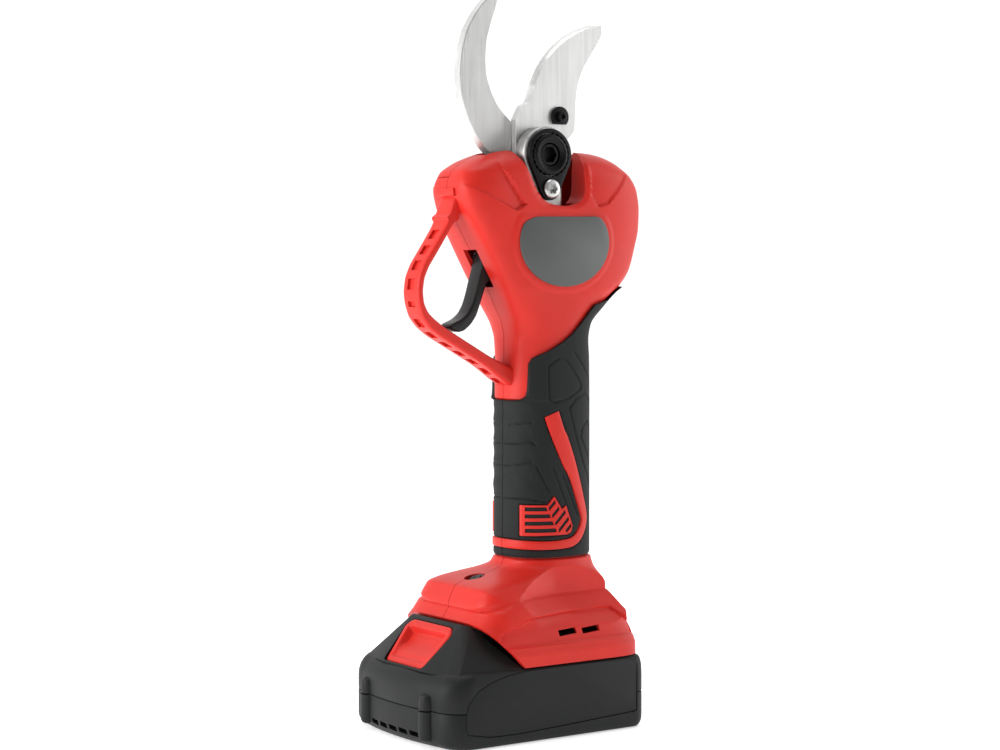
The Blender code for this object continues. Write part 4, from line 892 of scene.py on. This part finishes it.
edge, spine = rounded(EDGE, 110), rounded(BACK, 70)
hub = arc(PIVOT, 10.8, 168, 382, 44)
whole = np.concatenate([edge, hub, spine])
share = [0, 0.05, 0.25, 0.55, 0.74, 0.82, 1.0]
width = np.interp(np.linspace(0, 1, 110), share, [0.3, 0.9, 1.2, 1.2, 1.0, 0.4, 0.2])
inner = offset_side(edge, np.array([24.0, 262.0]), width)
ground = np.concatenate([inner, hub, spine])
slight = np.concatenate([offset_side(edge, np.array([24.0, 262.0]), 0.25), hub, spine])
cutter = blade("cutting_blade", [(ground, -5.7), (whole, -2.75), (whole, -2.45), (slight, -2.2)],
               [(PIVOT, 7.3), ((4.6, 261.5), 2.3)])
cutting_steel = brushed("cutting_steel", (0.70, 0.70, 0.69), 0.36, -12)
shaded(cutter, cutting_steel, 25)
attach(cutter, "blade")
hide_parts("moving_blade")

# ------------------------------------------------------------------ casting
# One die-cast aluminium frame carries the bolt, the bevel pair and the reduction gears. It
# is clamped between the housing halves; only its arms beside the blades can be seen.


def teardrop(ring, lobe, bottom, count=72):
    """A ring round the pivot that narrows to a round lobe straight below it."""
    lean = math.degrees(math.asin((ring - lobe) / (PIVOT[1] - bottom)))
    upper = arc(PIVOT, ring, -lean, 180 + lean, count)
    lower = arc((PIVOT[0], bottom), lobe, 180 + lean, 360 - lean, count // 3)
    return np.concatenate([upper, lower])


def block(name, x, y, z, edge=0.5):
    """A box between two corners, its upper and lower rims rounded."""
    corners = [(x[0], y[0]), (x[1], y[0]), (x[1], y[1]), (x[0], y[1])]
    return slab(name, rounded(corners, 80, 2, True), z[0], z[1], edge, edge, "Z", 3)


def bore(at, radius, low, high, axis="Y"):
    """A drill: a plain cylinder along one axis."""
    return turned_piece("bore", [(0, low), (radius, low), (radius, high), (0, high)], at, axis, 48)


lock_at = (PIVOT[0], 230.0)
casting = slab("casting", teardrop(12.1, 7.3, 233.2), -13.55, -6.95, 0.8, 0.3)
combined(casting, [
    block("neck", (-14.9, 0.9), (-13.25, -7.65), (205.0, 234.0)),
    block("gear_block", (-18.5, 5.5), (-13.2, 13.2), (195.1, 212.4), 0.8),
    block("far_neck", (-14.9, 0.9), (11.05, 13.25), (205.0, 234.0)),
    slab("far_arm", teardrop(12.1, 7.3, 233.2), 11.1, 13.55, 0.3, 0.8),
    block("link", (-14.9, -12.1), (-13.2, -7.0), (214.0, 233.0)),
    block("bracket", (-31.4, -13.5), (-8.9, -2.3), (220.1, 232.4)),
], "UNION")
combined(casting, [
    bore(PIVOT, 6.85, -20, -4),
    bore(PIVOT, 5.3, -4, 20),
    bore((PIVOT[0], 0), 7.7, 212.6, 234.6, "Z"),
    bore((PIVOT[0], 0), 6.9, 190, 206, "Z"),
    bore((PIVOT[0], 0), 3.8, 190, 215, "Z"),
    bore(lock_at, 2.05, -20, -8),
    bore(TAIL_SCREWS[0], 1.95, -12, 0),
    bore(TAIL_SCREWS[1], 1.95, -12, 0),
])
aluminium = dark_metal("cast_aluminium", (0.46, 0.46, 0.45), 0.48, 260.0)
shaded(casting, aluminium, 40)
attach(casting, "housing")
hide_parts("gear_case")

# ------------------------------------------------------------------ pivot bolt, nut and lock
# A blackened bolt with a hexagon socket runs through the bush and the sector. Its slotted
# ring nut is held by a teardrop lock plate, and the plate by one bright six-lobe screw.


def hexagon(at, across, count=6):
    """Corners of a hexagon given its width across flats."""
    return arc(at, across / math.sqrt(3), 0, 360, count + 1)[:-1]


def scalloped(at, radius, depth, count):
    """A circle with round serrations: radius less depth times a squared cosine."""
    a = np.linspace(0, 2 * math.pi, count * 12, endpoint=False)
    r = radius - depth * np.cos(a * count / 2) ** 2
    return np.stack([at[0] + r * np.cos(a), at[1] + r * np.sin(a)], 1)


bolt_rows = [(0, -15.2), (4.4, -15.2), (4.9, -14.8), (4.95, 13.95), (8.1, 13.95), (8.4, 14.25),
             (8.4, 16.0), (8.1, 16.5), (7.4, 16.9), (3.9, 16.9), (3.5, 16.6), (3.3, 15.3), (0, 15.3)]
bolt = turned_piece("bolt", bolt_rows, PIVOT, "Y", 64)
combined(bolt, [extruded("socket", hexagon(PIVOT, 6.4), -18, -12.4)])
nut_rows = [(5.1, -13.95), (8.3, -13.95), (8.72, -14.3), (8.72, -16.1), (8.3, -16.6), (7.6, -16.95),
            (6.9, -16.85), (6.1, -16.2), (5.6, -15.7), (5.1, -15.6), (5.1, -13.95)]
nut = turned_piece("nut", nut_rows, PIVOT, "Y", 144, lobes([2, 3], 0.12, 24))
plate = slab("lock_plate", teardrop(11.1, 4.9, 230.0), -15.95, -13.95, 0.45, 0.1)
combined(plate, [
    extruded("serrations", scalloped(PIVOT, 9.55, 0.4, 24), -20, -10),
    bore(lock_at, 2.05, -20, -10),
])
head = [(0, -8.8), (1.5, -9.3), (1.65, -10.0), (1.65, -16.3), (3.85, -16.3), (3.95, -16.6), (3.95, -17.2),
        (3.5, -17.75), (2.6, -17.95), (2.15, -17.95), (2.0, -17.8), (1.9, -15.6), (0, -15.4)]
lock_screw = turned_piece("lock_screw", head, lock_at, "Y", 60, lobes([9, 10, 11], 0.3))
bright = dark_metal("bright_screw", (0.55, 0.55, 0.54), 0.3, 700.0)
black_steel = dark_metal("blackened_pivot", (0.012, 0.012, 0.013), 0.42, 1200.0)
flange = arc((4.6, 261.5), 4.45, -45.4, 225.4, 48)
blade_screw = slab("blade_screw", flange, -7.15, -6.05, 0.25, 0.1)
combined(blade_screw, [
    slab("hex_head", hexagon((4.6, 261.5), 4.3), -8.95, -6.9, 0.3, 0.0),
    bore((4.6, 261.5), 2.0, -6.5, -2.4),
], "UNION")
combined(blade_screw, [extruded("socket", hexagon((4.6, 261.5), 2.0), -12, -8.0)])
for piece, node, finish, slot_name in (
    (bolt, "pivot_bolt", black_steel, "blackened_steel"),
    (nut, "pivot_nut", black_steel, "blackened_steel"),
    (plate, "lock_plate", black_steel, "blackened_steel"),
    (lock_screw, "lock_screw", bright, "bright_steel"),
):
    shaded(piece, finish, 35)
    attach(piece, "housing")
    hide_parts(node)
shaded(blade_screw, black_steel, 35)
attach(blade_screw, "blade")
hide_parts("blade_screw")
for k, at in enumerate(TAIL_SCREWS, start=1):
    profile = [(0, 2.6), (1.3, 2.5), (1.6, 2.1), (1.6, -9.3), (3.0, -9.3), (3.0, -10.6), (2.7, -11.1),
               (2.2, -11.35), (1.35, -11.35), (1.25, -11.2), (1.2, -10.4), (0, -10.3)]
    screw = turned_piece(f"hook_screw_{k}", profile, at, "Y", 48, lobes([8, 9, 10], 0.22))
    shaded(screw, black_oxide, 35)
    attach(screw, "housing")
    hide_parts(f"fixed_blade_screw_{k}")

# ------------------------------------------------------------------ power button
# A round black key with a softly dished top in a thin raised bezel, both set into the
# slope in front of the grip. The key travels under a millimetre.
bezel = slab("button_bezel", circle(4.05), -2.4, 0.5, 0.0, 0.4, "Z")
combined(bezel, [extruded("opening", circle(2.9), -4, 2, "Z")])
outline = circle(2.55)
rows = [(1.0, -3.0), (1.0, 0.75), (0.97, 1.0), (0.88, 1.12), (0.6, 1.0), (0.3, 0.8), (0.1, 0.75)]
crown = np.stack([np.column_stack([outline * share, np.full(len(outline), top)]) for share, top in rows])
key = surface("button_key", crown, around=True, ends=True)
for piece, node, body in ((bezel, "power_button_bezel", "housing"), (key, "power_button", "power_button")):
    on_slope(piece, BUTTON_AT, BUTTON_LEAN)
    shaded(piece, lever_black, 40)
    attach(piece, body)
    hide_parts(node)

# ------------------------------------------------------------------ battery pack cases
# Two black ABS mouldings joined at a fine line: a tray below with two bumper ribs and
# three front vents, and a lid above with a faceted hump that holds the red latch.
PACK_FRONT, PACK_REAR, PACK_HALF, PACK_SPLIT = -77.0, 27.0, 40.0, 15.45


def pack_plan(inset=0.0, back=0.0):
    """Plan of the pack: a rectangle with round corners whose front bows forward by 3 mm
    times the square of the distance off centre."""
    half, front, rear = PACK_HALF - inset, PACK_FRONT + inset + back, PACK_REAR - inset
    big, small, bow = 11.0 - inset, 6.0 - inset, 3.0
    share = np.linspace(1, -1, 41)[1:-1]
    across = np.stack([front + bow * share**2, share * (half - big)], 1)
    return np.concatenate([
        arc((rear - small, half - small), small, 0, 90, 14),
        arc((front + bow + big, half - big), big, 90, 176, 24),
        across,
        arc((front + bow + big, big - half), big, 184, 270, 24),
        arc((rear - small, small - half), small, 270, 360, 14),
    ])


def pack_case(name, rows):
    """A case from plans at several heights: rows of (inset, height, front set-back)."""
    rings = [pack_plan(inset, back) for inset, _, back in rows]
    grid = np.stack([np.column_stack([r, np.full(len(r), row[1])]) for r, row in zip(rings, rows)])
    return surface(name, grid, around=True, ends=True)


def hull(name, points):
    """The convex solid round a set of points in millimetres."""
    shape = bmesh.new()
    for p in points:
        shape.verts.new(np.array(p) * MM)
    made = bmesh.ops.convex_hull(shape, input=shape.verts)
    loose = [g for g in made["geom_interior"] if isinstance(g, bmesh.types.BMVert)]
    bmesh.ops.delete(shape, geom=loose, context="VERTS")
    bmesh.ops.recalc_face_normals(shape, faces=shape.faces)
    mesh = bpy.data.meshes.new(name)
    shape.to_mesh(mesh)
    shape.free()
    piece = bpy.data.objects.new(name, mesh)
    bpy.context.scene.collection.objects.link(piece)
    return piece


def softened(piece, width, segments=3, angle=25):
    """Rounds every edge sharper than an angle and keeps the finished mesh."""
    step = piece.modifiers.new("round", "BEVEL")
    step.width = width * MM
    step.segments = segments
    step.limit_method = "ANGLE"
    step.angle_limit = math.radians(angle)
    bpy.context.view_layer.update()
    finished = bpy.data.meshes.new_from_object(
        piece.evaluated_get(bpy.context.evaluated_depsgraph_get())
    )
    piece.modifiers.clear()
    piece.data = finished
    return piece


PANEL = rounded([
    (-65.6, 6.8), (-66.2, 13.0), (-65.2, 19.0), (-60.6, 24.2), (-53.0, 27.4), (-45.0, 29.2),
    (-36.0, 30.2), (-20, 30.5), (21.6, 30.5), (21.6, 7.2), (-20.0, 5.2), (-40.0, 4.4), (-54.0, 4.6),
], 260, 3, True)
LATCH_LEAN = math.degrees(math.atan2(46.3 - 29.9, 70.4 - 56.0))
LATCH_AT = (-63.2, 38.1)
latch_corners = [(10.9, -14.5), (10.9, 14.5), (7.5, 17.5), (-10.9, 14.5), (-10.9, -14.5), (7.5, -17.5)]
latch_plan = rounded(latch_corners, 200, 8, True)

split = PACK_SPLIT
tray = pack_case("pack_tray", [
    (2.8, 0.05, 2.9), (2.0, 0.25, 2.2), (1.3, 0.8, 1.6), (0.75, 1.6, 1.0), (0.35, 2.6, 0.5),
    (0.12, 3.8, 0.15),
    (0.0, 5.2, 0.0), (0.0, split - 0.5, 0.0), (0.12, split - 0.22, 0.0), (0.3, split - 0.12, 0.0),
    (2.3, split - 0.12, 0.0), (2.3, 2.6, 1.4),
])
ribs = []
for y in (-23.0, 23.0):
    rows = [(0, 2.6), (1.8, 2.6), (2.9, 3.2), (3.4, 4.2), (3.5, 5.0), (3.5, split - 0.3), (0, split - 0.3)]
    ribs.append(turned_piece("rib", rows, (PACK_FRONT + 2.7, y), "Z", 40))
combined(tray, ribs, "UNION")
front_slots = []
for y in (-19.0, -11.4, -3.8, 3.8, 11.4):
    plan = rounded([(y, 3.5), (y + 6.0, 3.9), (y + 6.4, 6.0), (y + 0.4, 5.6)], 40, 2, True)
    front_slots.append(extruded("slot", plan, -85, -72.5, "X"))
combined(tray, front_slots)

lid = pack_case("pack_lid", [
    (2.6, 28.6, 1.8), (2.3, split + 0.12, 0.0), (0.3, split + 0.12, 0.0), (0.12, split + 0.22, 0.0),
    (0.0, split + 0.5, 0.0), (0.0, 22.0, 0.0), (0.04, 24.2, 0.25), (0.2, 26.4, 0.9), (0.5, 28.3, 1.9),
    (1.0, 29.8, 3.1), (1.6, 30.6, 4.2), (2.3, 30.95, 5.4), (3.0, 31.0, 6.4),
])
ribs = []
for y in (-23.0, 23.0):
    rows = [(0, split + 0.3), (3.5, split + 0.3), (3.5, 19.0), (3.4, 20.4), (2.9, 21.6), (1.8, 22.3)]
    rows.append((0, 22.4))
    ribs.append(turned_piece("rib", rows, (PACK_FRONT + 2.9, y), "Z", 40))
combined(lid, ribs, "UNION")
hump = hull("hump", [
    (x, s * y, z) for s in (-1, 1) for x, y, z in (
        (-36.8, 38.4, 30.0), (-36.8, 38.4, 31.0), (-51.5, 21.5, 47.4), (-54.5, 19.0, 48.3),
        (-71.6, 22.0, 30.0), (-73.0, 14.0, 30.0), (-66.5, 35.5, 30.0),
    )
])
softened(hump, 0.55)
combined(lid, [
    hump,
    block("rail", (-33.6, 8.8), (-15.0, 15.0), (30.0, 37.0), 0.1),
    block("flange", (-33.6, 8.8), (-18.0, 18.0), (36.4, 39.0), 0.4),
], "UNION")
pocket = slab("pocket", inward(latch_plan, -0.4), -6.5, 12, 0, 0, "Z")
spring_seat = bore((0, 0), 4.2, -9.4, -6.0, "Z")
for tool in (pocket, spring_seat):
    on_slope(tool, LATCH_AT, LATCH_LEAN)
combined(lid, [
    pocket,
    spring_seat,
    extruded("catch_slot", [(-58, -6.5), (-40, -6.5), (-40, 6.5), (-58, 6.5)], 37.6, 44.6, "Z"),
    extruded("contact", [(-8, -7.8), (12, -7.8), (12, -6.2), (-8, -6.2)], 32.6, 37.8, "Z"),
    extruded("contact", [(-8, 6.2), (12, 6.2), (12, 7.8), (-8, 7.8)], 32.6, 37.8, "Z"),
])
for side in (-1, 1):
    for piece in (tray, lid):
        combined(piece, [extruded("recess", PANEL, *sorted((side * (PACK_HALF - 1.0), side * 50)))])
case_black = textured_plastic("case_black", (0.0125, 0.0135, 0.0132), 0.5, 1800.0, 0.05)
case_black.node_tree.nodes["Principled BSDF"].inputs["Specular IOR Level"].default_value = 0.18
for piece, node in ((tray, "battery_case_lower"), (lid, "battery_case_upper")):
    shaded(piece, case_black, 28)
    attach(piece, "pack")
    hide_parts(node)
for name, side in (("side_label_right", -1), ("side_label_left", 1)):
    low, high = sorted((side * 39.05, side * 39.8))
    label = slab(name, inward(PANEL, 0.22), low, high, 0.25 if side < 0 else 0, 0.25 if side > 0 else 0)
    shaded(label, case_black, 40)
    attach(label, "pack")

# ------------------------------------------------------------------ pack latch
# A red key sunk in the slope of the lid, with a thumb recess that is deepest near its top
# edge, and a hooked bar behind it that locks into the tool.


def recess_depth(u, v):
    """Depth of the thumb recess: it grows on the way uphill, ends in a steep wall under
    the top rim, and fades out towards both sides."""
    along_slope = (0.9 * soft(-8.8, -7.0, u) + 2.3 * soft(-6.0, 3.5, u)) * (1 - soft(5.6, 8.2, u))
    half = np.interp(u, [-10.9, 7.5], [13.0, 15.6])
    return along_slope * (1 - soft(half - 2.4, half - 0.4, np.abs(v)))


rows = []
for draw, height in ((0.0, -3.2), (0.0, 0.3), (0.12, 0.62), (0.4, 0.88), (0.9, 1.0)):
    rim = inward(latch_plan, draw)
    rows.append(np.column_stack([rim, np.full(len(rim), height)]))
for share in np.linspace(0.0, 0.97, 40):
    at = rim * (1 - share)
    rows.append(np.column_stack([at, 1.0 - recess_depth(at[:, 0], at[:, 1])]))
latch = surface("latch_key", np.stack(rows), around=True, ends=True)
on_slope(latch, LATCH_AT, LATCH_LEAN)
combined(latch, [block("catch", (-56.5, -43.2), (-5.5, 5.5), (39.7, 43.3), 0.4)], "UNION")
shaded(latch, red, 35)
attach(latch, "latch")
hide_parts("battery_latch")

# ------------------------------------------------------------------ drive and electrics
# The pieces that stay as packed: hardened gears and a shaft, a zinc-plated motor, sintered
# bronze bushes, green boards, copper blades and five shrink-wrapped cells.
gear_steel = brushed("gear_steel", (0.42, 0.42, 0.43), 0.36, 0)
plated = dark_metal("zinc_plate", (0.52, 0.52, 0.54), 0.28, 500.0)
bronze = dark_metal("sintered_bronze", (0.36, 0.21, 0.08), 0.46, 1500.0)
copper = dark_metal("copper", (0.72, 0.33, 0.16), 0.3, 900.0)
board_green = textured_plastic("board_green", (0.015, 0.09, 0.035), 0.36, 700.0, 0.02)
wrap = textured_plastic("cell_wrap", (0.02, 0.10, 0.30), 0.28, 300.0, 0.01)
inner_black = textured_plastic("inner_black", (0.02, 0.021, 0.021), 0.5, 1800.0, 0.05)
finishes = {
    gear_steel: ["sector_gear", "bevel_pinion", "planet_carrier", "planet_gear_1", "planet_gear_2",
                 "planet_gear_3", "ring_gear", "sun_gear", "motor_shaft"],
    plated: ["output_bearing", "motor_can", "motor_bearing_rear", "motor_bearing_front", "trigger_pin",
             "trigger_spring", "latch_spring"],
    bronze: ["pivot_bush", "thrust_washer"],
    copper: ["rotor_core", "terminal_positive", "terminal_negative"],
    board_green: ["controller_board", "battery_board", "trigger_sensor"],
    wrap: ["cell_1", "cell_2", "cell_3", "cell_4", "cell_5"],
    inner_black: ["motor_end_cap", "rail_plate", "terminal_block"],
}
for finish, nodes in finishes.items():
    for node in nodes:
        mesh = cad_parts[node].data
        mesh.materials.clear()
        mesh.materials.append(finish)

# ------------------------------------------------------------------ setting
# A white sweep, a large soft light at each side and one above, so that the faces turned
# to the camera are the darkest.
floor = extruded("floor", [(-9000, -9000), (9000, -9000), (9000, 9000), (-9000, 9000)], -20, -0.02, "Z")
paper = bpy.data.materials.new("paper")
paper.use_nodes = True
paper.node_tree.nodes["Principled BSDF"].inputs["Base Color"].default_value = (0.95, 0.95, 0.95, 1)
paper.node_tree.nodes["Principled BSDF"].inputs["Roughness"].default_value = 0.9
paper.node_tree.nodes["Principled BSDF"].inputs["Emission Color"].default_value = (1, 1, 1, 1)
paper.node_tree.nodes["Principled BSDF"].inputs["Emission Strength"].default_value = 0.5
floor.data.materials.append(paper)

sky = bpy.data.worlds.new("studio")
sky.use_nodes = True
nodes, links = sky.node_tree.nodes, sky.node_tree.links
toward = nodes.new("ShaderNodeTexCoord")
facing = nodes.new("ShaderNodeVectorMath")
facing.operation = "DOT_PRODUCT"
facing.inputs[1].default_value = (0.57, 0.82, 0.0)
level = nodes.new("ShaderNodeMapRange")
level.inputs["From Min"].default_value = -0.3
level.inputs["From Max"].default_value = 0.6
level.inputs["To Min"].default_value = 0.24
level.inputs["To Max"].default_value = 1.1
links.new(toward.outputs["Generated"], facing.inputs[0])
links.new(facing.outputs["Value"], level.inputs["Value"])
links.new(level.outputs["Result"], nodes["Background"].inputs["Strength"])
nodes["Background"].inputs["Color"].default_value = (1, 1, 1, 1)
bpy.context.scene.world = sky
bpy.context.scene.view_settings.view_transform = "Standard"


def softbox(name, place, aim, size, power):
    """A square area light turned to face a point."""
    lamp = bpy.data.lights.new(name, "AREA")
    lamp.shape = "SQUARE"
    lamp.size = size
    lamp.energy = power
    holder = bpy.data.objects.new(name, lamp)
    bpy.context.scene.collection.objects.link(holder)
    holder.location = place
    holder.rotation_euler = (Vector(aim) - Vector(place)).to_track_quat("-Z", "Y").to_euler()


softbox("left", (-1.15, 0.25, 0.45), (0, 0, 0.15), 0.9, 13)
softbox("right", (1.15, -0.6, 0.45), (0, 0, 0.15), 1.0, 7)
softbox("top", (0.0, 0.1, 1.3), (0, 0, 0.15), 0.7, 5)

lens = bpy.data.cameras.new("camera")
lens.lens = 77.4
lens.sensor_width = 36
camera = bpy.data.objects.new("camera", lens)
bpy.context.scene.collection.objects.link(camera)
camera.location = (-0.5437, -0.7588, 0.1892)
camera.rotation_euler = (math.radians(90 - 2.4), 0, math.radians(-34.5))
bpy.context.scene.camera = camera
